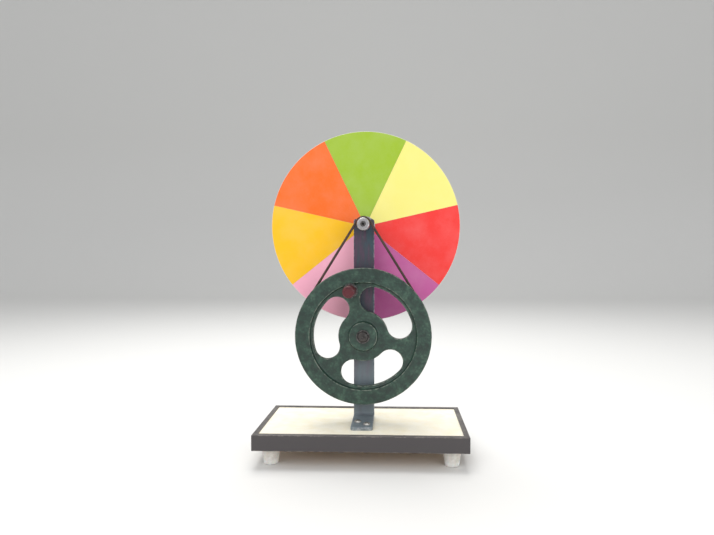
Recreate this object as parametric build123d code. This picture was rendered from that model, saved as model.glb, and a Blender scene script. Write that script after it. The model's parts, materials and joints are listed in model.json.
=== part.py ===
"""Newton colour disc on a belt-driven stand, turned by a cranked drive wheel.

Millimetres. The origin is the middle of the base's footprint on the bench top, +Z is up,
-Y is the front, where the crank is, and +X is to the right of someone who faces the front.
The drive wheel, the colour disc and the crank grip all turn about axes along Y.
"""

from build123d import *
import math
import os

# ---- Base ----
BASE_LENGTH = 200.0
BASE_DEPTH = 100.0
BOARD_THICKNESS = 12.0
LAMINATE_THICKNESS = 1.0
TRIM_WALL = 1.6
TRIM_LIP_WIDTH = 5.0
TRIM_LIP_THICKNESS = 1.0
TRIM_EDGE_RADIUS = 0.5

# ---- Feet ----
FOOT_HEIGHT = 17.0
FOOT_TOP_DIAMETER = 18.0
FOOT_BOTTOM_DIAMETER = 13.6
FOOT_EDGE_RADIUS = 1.4
FOOT_INSET = 15.0
FOOT_RECESS_DEPTH = 8.0
FOOT_RECESS_MARGIN = 0.6

# ---- Wood screws, used under the feet and in the upright's foot ----
WOOD_SCREW_DIAMETER = 3.6
WOOD_SCREW_HEAD_DIAMETER = 6.8
WOOD_SCREW_HEAD_HEIGHT = 2.2
WOOD_SCREW_POINT_LENGTH = 3.0
WOOD_SCREW_COVER = 3.0

# ---- Upright: one flat bar bent to an L ----
UPRIGHT_WIDTH = 21.0
UPRIGHT_THICKNESS = 3.0
UPRIGHT_FRONT_Y = 12.0
UPRIGHT_BEND_RADIUS = 3.0
UPRIGHT_FOOT_LENGTH = 48.0
UPRIGHT_TOP_MARGIN = 6.0
UPRIGHT_CORNER_RADIUS = 2.5
UPRIGHT_SCREW_SIDE = 4.6
UPRIGHT_REAR_SCREW_FROM_TOE = 23.0
UPRIGHT_FRONT_SCREW_FROM_TOE = 15.0

# ---- Clearances ----
RUNNING_CLEARANCE = 0.05
HOLE_CLEARANCE = 0.15
AXIAL_GAP = 0.3
BELT_SEAT_GAP = 0.3

# ---- Drive wheel casting ----
WHEEL_RADIUS = 68.0
WHEEL_BASE_GAP = 16.5
WHEEL_STANDOFF = 3.5
RIM_WIDTH = 12.0
RIM_DEPTH = 14.5
RIM_CORNER_RADIUS = 0.9
WEB_THICKNESS = 5.0
CAST_FILLET_RADIUS = 1.4
CAST_DRAFT = 0.8
HUB_RADIUS = 14.0
HUB_FRONT_STAND = 1.0
HUB_BACK_STAND = 1.5
SLOT_COUNT = 3
SLOT_FIRST_ANGLE = 45.5
SLOT_INNER_RADIUS = 25.0
SLOT_RIM_MARGIN = 3.5
SLOT_EDGE_RADIUS = 0.8
SPOKE_WIDTH = 11.8
GROOVE_MOUTH_WIDTH = 6.0
GROOVE_FLOOR_WIDTH = 2.6
GROOVE_DEPTH = 3.6
WHEEL_BUSH_WALL = 2.0

# ---- Wheel axle ----
AXLE_DIAMETER = 8.0
AXLE_HEAD_DIAMETER = 13.0
AXLE_HEAD_HEIGHT = 3.2
AXLE_WASHER_DIAMETER = 17.0
AXLE_WASHER_THICKNESS = 1.2
AXLE_SPACER_WALL = 3.0
AXLE_NUT_FLATS = 13.0
AXLE_NUT_HEIGHT = 5.0
AXLE_END_LENGTH = 1.5

# ---- Crank ----
CRANK_PIN_DIAMETER = 5.0
CRANK_PIN_HEAD_DIAMETER = 7.2
CRANK_PIN_HEAD_HEIGHT = 2.0
CRANK_BOSS_MARGIN = 1.9
CRANK_WASHER_DIAMETER = 17.0
CRANK_WASHER_THICKNESS = 1.2
CRANK_NUT_FLATS = 8.0
CRANK_NUT_HEIGHT = 3.5
CRANK_PIN_END_LENGTH = 0.8
GRIP_LENGTH = 22.0
GRIP_DIAMETER = 11.4
GRIP_WAIST_DIAMETER = 9.8
GRIP_RECESS_DEPTH = 3.0
GRIP_RECESS_MARGIN = 0.6

# ---- Disc spindle ----
SPINDLE_WHEEL_GAP = 43.5
SPINDLE_DIAMETER = 5.0
BEARING_WALL = 1.45
BEARING_FLANGE_DIAMETER = 12.0
BEARING_FLANGE_THICKNESS = 1.2
BEARING_REACH = 12.0
BEARING_NUT_FLATS = 12.0
BEARING_NUT_HEIGHT = 4.0
THRUST_WASHER_DIAMETER = 10.0
THRUST_WASHER_THICKNESS = 0.5
PULLEY_GROOVE_RADIUS = 5.45
PULLEY_FLANGE_HEIGHT = 2.95
PULLEY_FLANGE_WIDTH = 2.6
PULLEY_GROOVE_MOUTH_WIDTH = 4.8
PULLEY_BOSS_DIAMETER = 12.0
SPINDLE_NOSE_LENGTH = 0.8
SET_SCREW_DIAMETER = 2.5

# ---- Colour disc ----
DISC_RADIUS = 100.0
DISC_THICKNESS = 3.0
DISC_HUB_BOSS_DIAMETER = 13.0
DISC_HUB_BOSS_LENGTH = 5.0
DISC_HUB_FLANGE_DIAMETER = 21.0
DISC_HUB_FLANGE_THICKNESS = 2.5
DISC_NUT_FLATS = 8.0
DISC_NUT_HEIGHT = 4.0
DISC_WASHER_DIAMETER = 15.0
DISC_WASHER_THICKNESS = 1.0
SPINDLE_TAIL_LENGTH = 1.2
SECTOR_THICKNESS = 0.25
SECTOR_RIM_MARGIN = 0.3
SECTOR_NAMES = ["green", "yellow", "red", "purple", "pink", "amber", "orange"]

# ---- Drive belt ----
BELT_DIAMETER = 2.5

# ---- Heights that follow from the sizes above ----
board_bottom = FOOT_HEIGHT
board_top = board_bottom + BOARD_THICKNESS
laminate_top = board_top + LAMINATE_THICKNESS
base_bottom = board_bottom - TRIM_LIP_THICKNESS
base_top = laminate_top + TRIM_LIP_THICKNESS
upright_foot_top = laminate_top + UPRIGHT_THICKNESS
wheel_z = base_top + WHEEL_BASE_GAP + WHEEL_RADIUS
spindle_z = wheel_z + WHEEL_RADIUS + SPINDLE_WHEEL_GAP

# ---- Stations along Y, from the upright forwards ----
upright_back = UPRIGHT_FRONT_Y + UPRIGHT_THICKNESS
upright_toe = UPRIGHT_FRONT_Y - UPRIGHT_FOOT_LENGTH
hub_back = UPRIGHT_FRONT_Y - WHEEL_STANDOFF
rim_back = hub_back - HUB_BACK_STAND
rim_front = rim_back - RIM_WIDTH
hub_front = rim_front - HUB_FRONT_STAND
belt_plane = rim_back - RIM_WIDTH / 2
web_front = belt_plane - WEB_THICKNESS / 2
web_back = belt_plane + WEB_THICKNESS / 2
axle_washer_back = hub_front - AXIAL_GAP
axle_head_back = axle_washer_back - AXLE_WASHER_THICKNESS
axle_nut_front = upright_back + AXLE_WASHER_THICKNESS
axle_end = axle_nut_front + AXLE_NUT_HEIGHT + AXLE_END_LENGTH
grip_back = rim_front - CRANK_WASHER_THICKNESS - AXIAL_GAP
grip_front = grip_back - GRIP_LENGTH
crank_pin_head_back = grip_front + GRIP_RECESS_DEPTH - AXIAL_GAP
crank_pin_end = web_back + CRANK_NUT_HEIGHT + CRANK_PIN_END_LENGTH

# ---- Stations along the spindle, from the front to the back ----
bearing_front = UPRIGHT_FRONT_Y - BEARING_FLANGE_THICKNESS
bearing_back = upright_back + BEARING_REACH
front_thrust_front = bearing_front - AXIAL_GAP - THRUST_WASHER_THICKNESS
pulley_back = belt_plane + PULLEY_GROOVE_MOUTH_WIDTH / 2 + PULLEY_FLANGE_WIDTH
pulley_front = belt_plane - PULLEY_GROOVE_MOUTH_WIDTH / 2 - PULLEY_FLANGE_WIDTH
rear_thrust_front = bearing_back + AXIAL_GAP
disc_hub_front = rear_thrust_front + THRUST_WASHER_THICKNESS
disc_hub_flange_front = disc_hub_front + DISC_HUB_BOSS_LENGTH
sector_front = disc_hub_flange_front + DISC_HUB_FLANGE_THICKNESS
disc_front = sector_front + SECTOR_THICKNESS
disc_back = disc_front + DISC_THICKNESS
disc_nut_front = disc_back + DISC_WASHER_THICKNESS
disc_nut_back = disc_nut_front + DISC_NUT_HEIGHT

# ---- Radii and angles that follow ----
wood_screw_radius = WOOD_SCREW_DIAMETER / 2
wood_screw_hole = wood_screw_radius + HOLE_CLEARANCE
wood_screw_bite = BOARD_THICKNESS - WOOD_SCREW_COVER
foot_recess_radius = WOOD_SCREW_HEAD_DIAMETER / 2 + FOOT_RECESS_MARGIN
axle_radius = AXLE_DIAMETER / 2
spindle_radius = SPINDLE_DIAMETER / 2
crank_pin_radius = CRANK_PIN_DIAMETER / 2
bearing_radius = spindle_radius + BEARING_WALL
rim_inner_radius = WHEEL_RADIUS - RIM_DEPTH
wheel_bore_radius = axle_radius + RUNNING_CLEARANCE
wheel_bush_radius = wheel_bore_radius + WHEEL_BUSH_WALL
slot_outer_radius = rim_inner_radius - SLOT_RIM_MARGIN
slot_middle_radius = (SLOT_INNER_RADIUS + slot_outer_radius) / 2
slot_width = slot_outer_radius - SLOT_INNER_RADIUS
crank_nut_corner = CRANK_NUT_FLATS / 2 / math.cos(math.radians(30))
crank_boss_radius = crank_nut_corner + CRANK_BOSS_MARGIN
crank_radius = rim_inner_radius - crank_boss_radius
crank_angle = SLOT_FIRST_ANGLE + 180 / SLOT_COUNT
crank_x = crank_radius * math.cos(math.radians(crank_angle))
crank_z = wheel_z + crank_radius * math.sin(math.radians(crank_angle))
belt_radius = BELT_DIAMETER / 2
wheel_groove_radius = WHEEL_RADIUS - GROOVE_DEPTH
belt_wheel_radius = wheel_groove_radius + BELT_SEAT_GAP + belt_radius
belt_pulley_radius = PULLEY_GROOVE_RADIUS + BELT_SEAT_GAP + belt_radius

foot_places = {
    "front_left": (-BASE_LENGTH / 2 + FOOT_INSET, -BASE_DEPTH / 2 + FOOT_INSET),
    "front_right": (BASE_LENGTH / 2 - FOOT_INSET, -BASE_DEPTH / 2 + FOOT_INSET),
    "rear_left": (-BASE_LENGTH / 2 + FOOT_INSET, BASE_DEPTH / 2 - FOOT_INSET),
    "rear_right": (BASE_LENGTH / 2 - FOOT_INSET, BASE_DEPTH / 2 - FOOT_INSET),
}
upright_screw_places = [
    (-UPRIGHT_SCREW_SIDE, upright_toe + UPRIGHT_REAR_SCREW_FROM_TOE),
    (UPRIGHT_SCREW_SIDE, upright_toe + UPRIGHT_FRONT_SCREW_FROM_TOE),
]


# ---- Shapes that several pieces share ----
def slab(length, depth, low, high):
    """A rectangular plate about the Z axis, from height low to height high."""
    blank = Box(length, depth, high - low, align=(Align.CENTER, Align.CENTER, Align.MIN))
    return Pos(0, 0, low) * blank


def peg(radius, low, high, x=0, y=0):
    """A cylinder along Z from height low to height high."""
    blank = Cylinder(radius, high - low, align=(Align.CENTER, Align.CENTER, Align.MIN))
    return Pos(x, y, low) * blank


def rod(radius, front, back, x, z):
    """A cylinder along Y from the station front to the station back."""
    blank = Cylinder(radius, back - front, align=(Align.CENTER, Align.CENTER, Align.MIN))
    return Pos(x, front, z) * Rot(-90, 0, 0) * blank


def ring(outer, inner, front, back, x, z):
    """A plain washer or tube about a line along Y."""
    return rod(outer, front, back, x, z) - rod(inner, front, back, x, z)


def turned(points, radii, x=0, z=0):
    """A solid turned about a line along Y; points are (radius, y), radii round its corners."""
    corners = [(0, y, r) for r, y in points]
    outline = FilletPolyline(*corners, radius=radii, close=True)
    return Pos(x, 0, z) * revolve(make_face(outline), Axis.Y)


def hex_nut(flats, hole, front, back, x, z):
    """A hexagon nut about a line along Y, its corners turned down at both faces."""
    height = back - front
    corner = flats / 2 / math.cos(math.radians(30))
    drop = (corner - flats / 2) * math.tan(math.radians(30))
    face_radius = flats / 2 * 0.97
    blank = extrude(RegularPolygon(corner, 6), height)
    blank = Pos(x, front, z) * Rot(-90, 0, 0) * blank
    cone = turned(
        [(0, front), (face_radius, front), (corner, front + drop + 0.2), (corner, back - drop - 0.2),
         (face_radius, back), (0, back)], 0, x, z)
    return (blank & cone) - rod(hole, front, back, x, z)


def wood_screw(x, y, seat, direction):
    """A domed, slotted wood screw along Z; its head sits on the seat, its point lies along direction."""
    length = (upright_screw_length if direction < 0 else foot_screw_length)
    head_radius = WOOD_SCREW_HEAD_DIAMETER / 2
    head = peg(head_radius, -WOOD_SCREW_HEAD_HEIGHT, 0)
    rim = head.edges().filter_by(GeomType.CIRCLE).sort_by(Axis.Z)[0]
    head = fillet(rim, WOOD_SCREW_HEAD_HEIGHT * 0.8)
    slot = Pos(0, 0, -WOOD_SCREW_HEAD_HEIGHT) * Box(WOOD_SCREW_HEAD_DIAMETER, 0.9, 1.6)
    shank = peg(wood_screw_radius, 0, length - WOOD_SCREW_POINT_LENGTH)
    point = Pos(0, 0, length - WOOD_SCREW_POINT_LENGTH / 2) * Cone(
        wood_screw_radius, 0.4, WOOD_SCREW_POINT_LENGTH)
    screw = head - slot + shank + point
    turn = Rot(180, 0, 0) if direction < 0 else Rot(0, 0, 0)
    return Pos(x, y, seat) * turn * Rot(0, 0, 35) * screw


# ---- Base ----
foot_screw_length = FOOT_HEIGHT - FOOT_RECESS_DEPTH + wood_screw_bite
upright_screw_length = UPRIGHT_THICKNESS + LAMINATE_THICKNESS + wood_screw_bite


def make_board():
    board = slab(BASE_LENGTH - 2 * TRIM_WALL, BASE_DEPTH - 2 * TRIM_WALL, board_bottom, board_top)
    for x, y in foot_places.values():
        board -= peg(wood_screw_hole, board_bottom, board_bottom + wood_screw_bite + HOLE_CLEARANCE, x, y)
    for x, y in upright_screw_places:
        board -= peg(wood_screw_hole, board_top - wood_screw_bite - HOLE_CLEARANCE, board_top, x, y)
    return board


def make_laminate():
    sheet = slab(BASE_LENGTH - 2 * TRIM_WALL, BASE_DEPTH - 2 * TRIM_WALL, board_top, laminate_top)
    for x, y in upright_screw_places:
        sheet -= peg(wood_screw_hole, board_top, laminate_top, x, y)
    return sheet


def make_trim():
    """The channel round the edge of the base, cut at 45 degrees into its four lengths."""
    frame = slab(BASE_LENGTH, BASE_DEPTH, base_bottom, base_top)
    outer = frame.edges().filter_by(GeomType.LINE).filter_by(Axis.Z, reverse=True)
    frame = fillet(outer, TRIM_EDGE_RADIUS)
    frame -= slab(BASE_LENGTH - 2 * TRIM_WALL, BASE_DEPTH - 2 * TRIM_WALL, board_bottom, laminate_top)
    frame -= slab(BASE_LENGTH - 2 * TRIM_LIP_WIDTH, BASE_DEPTH - 2 * TRIM_LIP_WIDTH, base_bottom, base_top)
    x, y, lip = BASE_LENGTH / 2, BASE_DEPTH / 2, TRIM_LIP_WIDTH
    corners = {
        "front": [(-x, -y), (x, -y), (x - lip, lip - y), (lip - x, lip - y)],
        "back": [(-x, y), (x, y), (x - lip, y - lip), (lip - x, y - lip)],
        "left": [(-x, -y), (-x, y), (lip - x, y - lip), (lip - x, lip - y)],
        "right": [(x, -y), (x, y), (x - lip, y - lip), (x - lip, lip - y)],
    }
    pieces = {}
    for side, outline in corners.items():
        wedge = extrude(Pos(0, 0, base_bottom) * make_face(Polyline(*outline, close=True)), base_top)
        pieces["edge_trim_" + side] = frame & wedge
    return pieces


def make_foot(x, y):
    """A tapered rubber foot, its screw's head sunk in a recess from below."""
    bottom, top = FOOT_BOTTOM_DIAMETER / 2, FOOT_TOP_DIAMETER / 2
    corners = [(wood_screw_hole, 0, FOOT_RECESS_DEPTH), (foot_recess_radius, 0, FOOT_RECESS_DEPTH),
               (foot_recess_radius, 0, 0), (bottom, 0, 0), (top, 0, FOOT_HEIGHT),
               (wood_screw_hole, 0, FOOT_HEIGHT)]
    outline = FilletPolyline(*corners, radius=[0, 0, 0, FOOT_EDGE_RADIUS, 0, 0], close=True)
    return Pos(x, y, 0) * revolve(make_face(outline), Axis.Z)


# ---- Upright ----
def make_upright():
    top = spindle_z + UPRIGHT_TOP_MARGIN
    corners = [(0, upright_toe, laminate_top), (0, upright_back, laminate_top), (0, upright_back, top),
               (0, UPRIGHT_FRONT_Y, top), (0, UPRIGHT_FRONT_Y, upright_foot_top),
               (0, upright_toe, upright_foot_top)]
    outer_bend = UPRIGHT_BEND_RADIUS + UPRIGHT_THICKNESS
    outline = FilletPolyline(*corners, radius=[0, outer_bend, 0, 0, UPRIGHT_BEND_RADIUS, 0], close=True)
    bar = extrude(make_face(outline), UPRIGHT_WIDTH / 2, dir=(1, 0, 0), both=True)
    shoulders = bar.edges().filter_by(Axis.Y).group_by(Axis.Z)[-1]
    toes = bar.edges().filter_by(Axis.Z).group_by(Axis.Y)[0]
    bar = fillet(shoulders + toes, UPRIGHT_CORNER_RADIUS)
    bar -= rod(bearing_radius + HOLE_CLEARANCE, UPRIGHT_FRONT_Y, upright_back, 0, spindle_z)
    bar -= rod(axle_radius + HOLE_CLEARANCE, UPRIGHT_FRONT_Y, upright_back, 0, wheel_z)
    for x, y in upright_screw_places:
        bar -= peg(wood_screw_hole, laminate_top, upright_foot_top, x, y)
    return bar


def make_bearing():
    """The flanged bush that carries the spindle, long enough behind to hold the disc steady."""
    flange = BEARING_FLANGE_DIAMETER / 2
    bore = spindle_radius + RUNNING_CLEARANCE
    return turned(
        [(bore, bearing_front), (flange, bearing_front), (flange, UPRIGHT_FRONT_Y),
         (bearing_radius, UPRIGHT_FRONT_Y), (bearing_radius, bearing_back), (bore, bearing_back)],
        [0, 0.4, 0, 0, 0.5, 0], 0, spindle_z)


# ---- Wheel axle ----
def make_axle():
    head = AXLE_HEAD_DIAMETER / 2
    front = axle_head_back - AXLE_HEAD_HEIGHT
    return turned(
        [(0, front), (head, front), (head, axle_head_back), (axle_radius, axle_head_back),
         (axle_radius, axle_end), (0, axle_end)],
        [0, AXLE_HEAD_HEIGHT * 0.7, 0, 0, 0.6, 0], 0, wheel_z)


def axle_ring(outer, front, back):
    return ring(outer, axle_radius + HOLE_CLEARANCE, front, back, 0, wheel_z)


# ---- Drive wheel ----
def make_wheel_blank():
    """The turned form of the casting: grooved rim, thin web, and a hub that stands proud."""
    mouth, floor = GROOVE_MOUTH_WIDTH / 2, GROOVE_FLOOR_WIDTH / 2
    hub_root = HUB_RADIUS + CAST_DRAFT
    rim_root = rim_inner_radius - CAST_DRAFT
    corner, root = RIM_CORNER_RADIUS, CAST_FILLET_RADIUS
    shape = [
        (wheel_bush_radius, hub_front, 0), (HUB_RADIUS, hub_front, corner), (hub_root, web_front, root),
        (rim_root, web_front, root), (rim_inner_radius, rim_front, corner),
        (WHEEL_RADIUS, rim_front, corner), (WHEEL_RADIUS, belt_plane - mouth, 0.3),
        (wheel_groove_radius, belt_plane - floor, 0.5), (wheel_groove_radius, belt_plane + floor, 0.5),
        (WHEEL_RADIUS, belt_plane + mouth, 0.3), (WHEEL_RADIUS, rim_back, corner),
        (rim_inner_radius, rim_back, corner), (rim_root, web_back, root), (hub_root, web_back, root),
        (HUB_RADIUS, hub_back, corner), (wheel_bush_radius, hub_back, 0),
    ]
    return turned([(r, y) for r, y, _ in shape], [f for _, _, f in shape], 0, wheel_z)


def make_slot_cutters():
    """The kidney-shaped windows between the spokes, as seen from the front."""
    spoke_turn = math.asin((SPOKE_WIDTH + slot_width) / 2 / slot_middle_radius)
    half_turn = 180 / SLOT_COUNT - math.degrees(spoke_turn)
    front = Plane(origin=(0, belt_plane, wheel_z), x_dir=(1, 0, 0), z_dir=(0, -1, 0))
    cutters = []
    for number in range(SLOT_COUNT):
        middle = SLOT_FIRST_ANGLE + number * 360 / SLOT_COUNT
        line = CenterArc((0, 0), slot_middle_radius, middle - half_turn, 2 * half_turn)
        window = SlotArc(line, slot_width)
        cutters.append(extrude(front * window, WEB_THICKNESS, both=True))
    return cutters


def make_wheel():
    wheel = make_wheel_blank()
    cutters = make_slot_cutters()
    cut = wheel
    for cutter in cutters:
        cut -= cutter
    rims = new_edges(wheel, *cutters, combined=cut)
    rims = rims.filter_by(lambda edge: edge.bounding_box().size.Y < 0.001)
    cut = fillet(rims, SLOT_EDGE_RADIUS)
    cut += rod(crank_boss_radius, rim_front, web_front, crank_x, crank_z)
    return cut - rod(crank_pin_radius + HOLE_CLEARANCE, rim_front, web_back, crank_x, crank_z)


# ---- Crank ----
def make_crank_pin():
    """The shouldered pin that the grip turns on, its head sunk in the grip's end."""
    head = CRANK_PIN_HEAD_DIAMETER / 2
    front = crank_pin_head_back - CRANK_PIN_HEAD_HEIGHT
    return turned(
        [(0, front), (head, front), (head, crank_pin_head_back), (crank_pin_radius, crank_pin_head_back),
         (crank_pin_radius, crank_pin_end), (0, crank_pin_end)],
        [0, 0.8, 0, 0, 0.4, 0], crank_x, crank_z)


def make_grip():
    """The turned grip: a round front end, a waist, and a collar next to the wheel."""
    bore = crank_pin_radius + RUNNING_CLEARANCE
    recess = CRANK_PIN_HEAD_DIAMETER / 2 + GRIP_RECESS_MARGIN
    end, waist = GRIP_DIAMETER / 2, GRIP_WAIST_DIAMETER / 2
    floor = grip_front + GRIP_RECESS_DEPTH
    swell = grip_front + GRIP_LENGTH * 0.32
    neck = grip_front + GRIP_LENGTH * 0.72
    collar = grip_back - GRIP_LENGTH * 0.1
    shape = [
        (bore, floor, 0), (recess, floor, 0), (recess, grip_front, 0.2), (end, grip_front, 1.0),
        (end, swell, 6.0), (waist, neck, 3.0), (end, collar, 1.0), (end, grip_back, 0.5),
        (bore, grip_back, 0),
    ]
    return turned([(r, y) for r, y, _ in shape], [f for _, _, f in shape], crank_x, crank_z)


# ---- Disc spindle ----
def make_spindle():
    front, back = pulley_front - SPINDLE_NOSE_LENGTH, disc_nut_back + SPINDLE_TAIL_LENGTH
    return turned(
        [(0, front), (spindle_radius, front), (spindle_radius, back), (0, back)],
        [0, 0.4, 0.4, 0], 0, spindle_z)


def set_screw_hole(y, outer):
    """The radial hole for a set screw, from the spindle up to the outer radius."""
    return peg(SET_SCREW_DIAMETER / 2 + HOLE_CLEARANCE, spindle_z + spindle_radius, spindle_z + outer, 0, y)


def make_set_screw(y, outer):
    """A headless set screw that bears on the spindle, with a slot in its outer end."""
    body = peg(SET_SCREW_DIAMETER / 2, spindle_z + spindle_radius, spindle_z + outer, 0, y)
    return body - Pos(0, y, spindle_z + outer) * Box(SET_SCREW_DIAMETER, 0.5, 1.2)


pulley_screw_y = (pulley_back + front_thrust_front) / 2
disc_hub_screw_y = (disc_hub_front + disc_hub_flange_front) / 2


def make_pulley():
    """The small grooved pulley, with a boss behind it that takes its set screw."""
    flange = PULLEY_GROOVE_RADIUS + PULLEY_FLANGE_HEIGHT
    mouth, floor = PULLEY_GROOVE_MOUTH_WIDTH / 2, GROOVE_FLOOR_WIDTH / 2
    bore, boss = spindle_radius + HOLE_CLEARANCE, PULLEY_BOSS_DIAMETER / 2
    shape = [
        (bore, pulley_front, 0), (flange, pulley_front, 0.6), (flange, belt_plane - mouth, 0.3),
        (PULLEY_GROOVE_RADIUS, belt_plane - floor, 0.3), (PULLEY_GROOVE_RADIUS, belt_plane + floor, 0.3),
        (flange, belt_plane + mouth, 0.3), (flange, pulley_back, 0.6), (boss, pulley_back, 0.3),
        (boss, front_thrust_front, 0.4), (bore, front_thrust_front, 0),
    ]
    pulley = turned([(r, y) for r, y, _ in shape], [f for _, _, f in shape], 0, spindle_z)
    return pulley - set_screw_hole(pulley_screw_y, boss)


def spindle_ring(outer, front, back):
    return ring(outer, spindle_radius + HOLE_CLEARANCE, front, back, 0, spindle_z)


def make_disc_hub():
    bore = spindle_radius + HOLE_CLEARANCE
    boss, flange = DISC_HUB_BOSS_DIAMETER / 2, DISC_HUB_FLANGE_DIAMETER / 2
    hub = turned(
        [(bore, disc_hub_front), (boss, disc_hub_front), (boss, disc_hub_flange_front),
         (flange, disc_hub_flange_front), (flange, sector_front), (bore, sector_front)],
        [0, 0.5, 0.6, 0.5, 0, 0], 0, spindle_z)
    return hub - set_screw_hole(disc_hub_screw_y, boss)


def make_disc():
    rim = DISC_RADIUS
    bore = spindle_radius + HOLE_CLEARANCE
    return turned(
        [(bore, disc_front), (rim, disc_front), (rim, disc_back), (bore, disc_back)],
        [0, SECTOR_RIM_MARGIN * 0.8, 0.8, 0], 0, spindle_z)


def make_sectors():
    """Thin coloured sectors on the front of the disc, clockwise from the one at the top."""
    turn = 360 / len(SECTOR_NAMES)
    radius = DISC_RADIUS - SECTOR_RIM_MARGIN
    bore = spindle_radius + HOLE_CLEARANCE
    face = Plane(origin=(0, disc_front, spindle_z), x_dir=(1, 0, 0), z_dir=(0, -1, 0))
    pieces = {}
    for number, name in enumerate(SECTOR_NAMES):
        start = 90 - turn / 2 - number * turn
        inner = CenterArc((0, 0), bore, start, turn)
        outer = CenterArc((0, 0), radius, start, turn)
        sides = [Line(inner @ 0, outer @ 0), Line(outer @ 1, inner @ 1)]
        outline = make_face([inner, outer] + sides)
        pieces["sector_" + name] = extrude(face * outline, SECTOR_THICKNESS)
    return pieces


# ---- Drive belt ----
def make_belt():
    """A round belt, open, not crossed: an arc on each wheel and the two straight runs between."""
    height = spindle_z - wheel_z
    lean = math.asin((belt_wheel_radius - belt_pulley_radius) / height)
    across, rise = math.cos(lean), math.sin(lean)
    ends = {}
    for side in (-1, 1):
        low = (side * belt_wheel_radius * across, belt_plane, wheel_z + belt_wheel_radius * rise)
        high = (side * belt_pulley_radius * across, belt_plane, spindle_z + belt_pulley_radius * rise)
        ends[side] = (Vector(*low), Vector(*high))
    bottom = Vector(0, belt_plane, wheel_z - belt_wheel_radius)
    top = Vector(0, belt_plane, spindle_z + belt_pulley_radius)
    path = Wire([
        Edge.make_three_point_arc(ends[1][0], bottom, ends[-1][0]),
        Edge.make_line(ends[-1][0], ends[-1][1]),
        Edge.make_three_point_arc(ends[-1][1], top, ends[1][1]),
        Edge.make_line(ends[1][1], ends[1][0]),
    ])
    section = Plane(origin=path @ 0, z_dir=path % 0) * Circle(belt_radius)
    return sweep(section, path)


# ---- All the nodes ----
def make_nodes():
    nodes = {
        "base_board": make_board(),
        "top_laminate": make_laminate(),
        "upright_strap": make_upright(),
        "spindle_bearing": make_bearing(),
        "bearing_nut": hex_nut(BEARING_NUT_FLATS, bearing_radius + HOLE_CLEARANCE, upright_back,
                               upright_back + BEARING_NUT_HEIGHT, 0, spindle_z),
        "wheel_axle": make_axle(),
        "axle_washer_front": axle_ring(AXLE_WASHER_DIAMETER / 2, axle_head_back, axle_washer_back),
        "axle_spacer": axle_ring(axle_radius + AXLE_SPACER_WALL, hub_back + AXIAL_GAP, UPRIGHT_FRONT_Y),
        "axle_washer_rear": axle_ring(AXLE_WASHER_DIAMETER / 2, upright_back, axle_nut_front),
        "axle_nut": hex_nut(AXLE_NUT_FLATS, axle_radius + HOLE_CLEARANCE, axle_nut_front,
                            axle_nut_front + AXLE_NUT_HEIGHT, 0, wheel_z),
        "drive_belt": make_belt(),
        "drive_wheel": make_wheel(),
        "wheel_bush": ring(wheel_bush_radius, wheel_bore_radius, hub_front, hub_back, 0, wheel_z),
        "crank_pin": make_crank_pin(),
        "crank_washer": ring(CRANK_WASHER_DIAMETER / 2, crank_pin_radius + HOLE_CLEARANCE,
                             rim_front - CRANK_WASHER_THICKNESS, rim_front, crank_x, crank_z),
        "crank_nut": hex_nut(CRANK_NUT_FLATS, crank_pin_radius + HOLE_CLEARANCE, web_back,
                             web_back + CRANK_NUT_HEIGHT, crank_x, crank_z),
        "crank_grip": make_grip(),
        "disc_spindle": make_spindle(),
        "spindle_pulley": make_pulley(),
        "pulley_set_screw": make_set_screw(pulley_screw_y, PULLEY_BOSS_DIAMETER / 2),
        "thrust_washers": Compound(children=[
            spindle_ring(THRUST_WASHER_DIAMETER / 2, start, start + THRUST_WASHER_THICKNESS)
            for start in (front_thrust_front, rear_thrust_front)]),
        "disc_hub": make_disc_hub(),
        "hub_set_screw": make_set_screw(disc_hub_screw_y, DISC_HUB_BOSS_DIAMETER / 2),
        "disc_plate": make_disc(),
        "disc_washer": spindle_ring(DISC_WASHER_DIAMETER / 2, disc_back, disc_nut_front),
        "disc_nut": hex_nut(DISC_NUT_FLATS, spindle_radius + HOLE_CLEARANCE, disc_nut_front,
                            disc_nut_back, 0, spindle_z),
        "foot_screws": Compound(children=[
            wood_screw(x, y, FOOT_RECESS_DEPTH, 1) for x, y in foot_places.values()]),
        "upright_screws": Compound(children=[
            wood_screw(x, y, upright_foot_top, -1) for x, y in upright_screw_places]),
    }
    nodes.update(make_trim())
    nodes.update(make_sectors())
    for place, (x, y) in foot_places.items():
        nodes["rubber_foot_" + place] = make_foot(x, y)
    return nodes


os.makedirs("parts", exist_ok=True)
for node_name, shape in make_nodes().items():
    export_step(shape, os.path.join("parts", node_name + ".step"))
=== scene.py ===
"""Looks of a Newton colour disc with a crank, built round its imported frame.

Lengths are in metres in the frame's own axes: +Z is up, -Y is the front, where the crank is, and +X is
to the right of someone who faces the front. A turned piece has its axis along the Y of its own object.
"""

import json
import math

import bmesh
import bpy
import numpy as np
from bpy.props import FloatProperty, FloatVectorProperty, PointerProperty
from mathutils import Matrix, Vector
from mathutils.geometry import delaunay_2d_cdt

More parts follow.
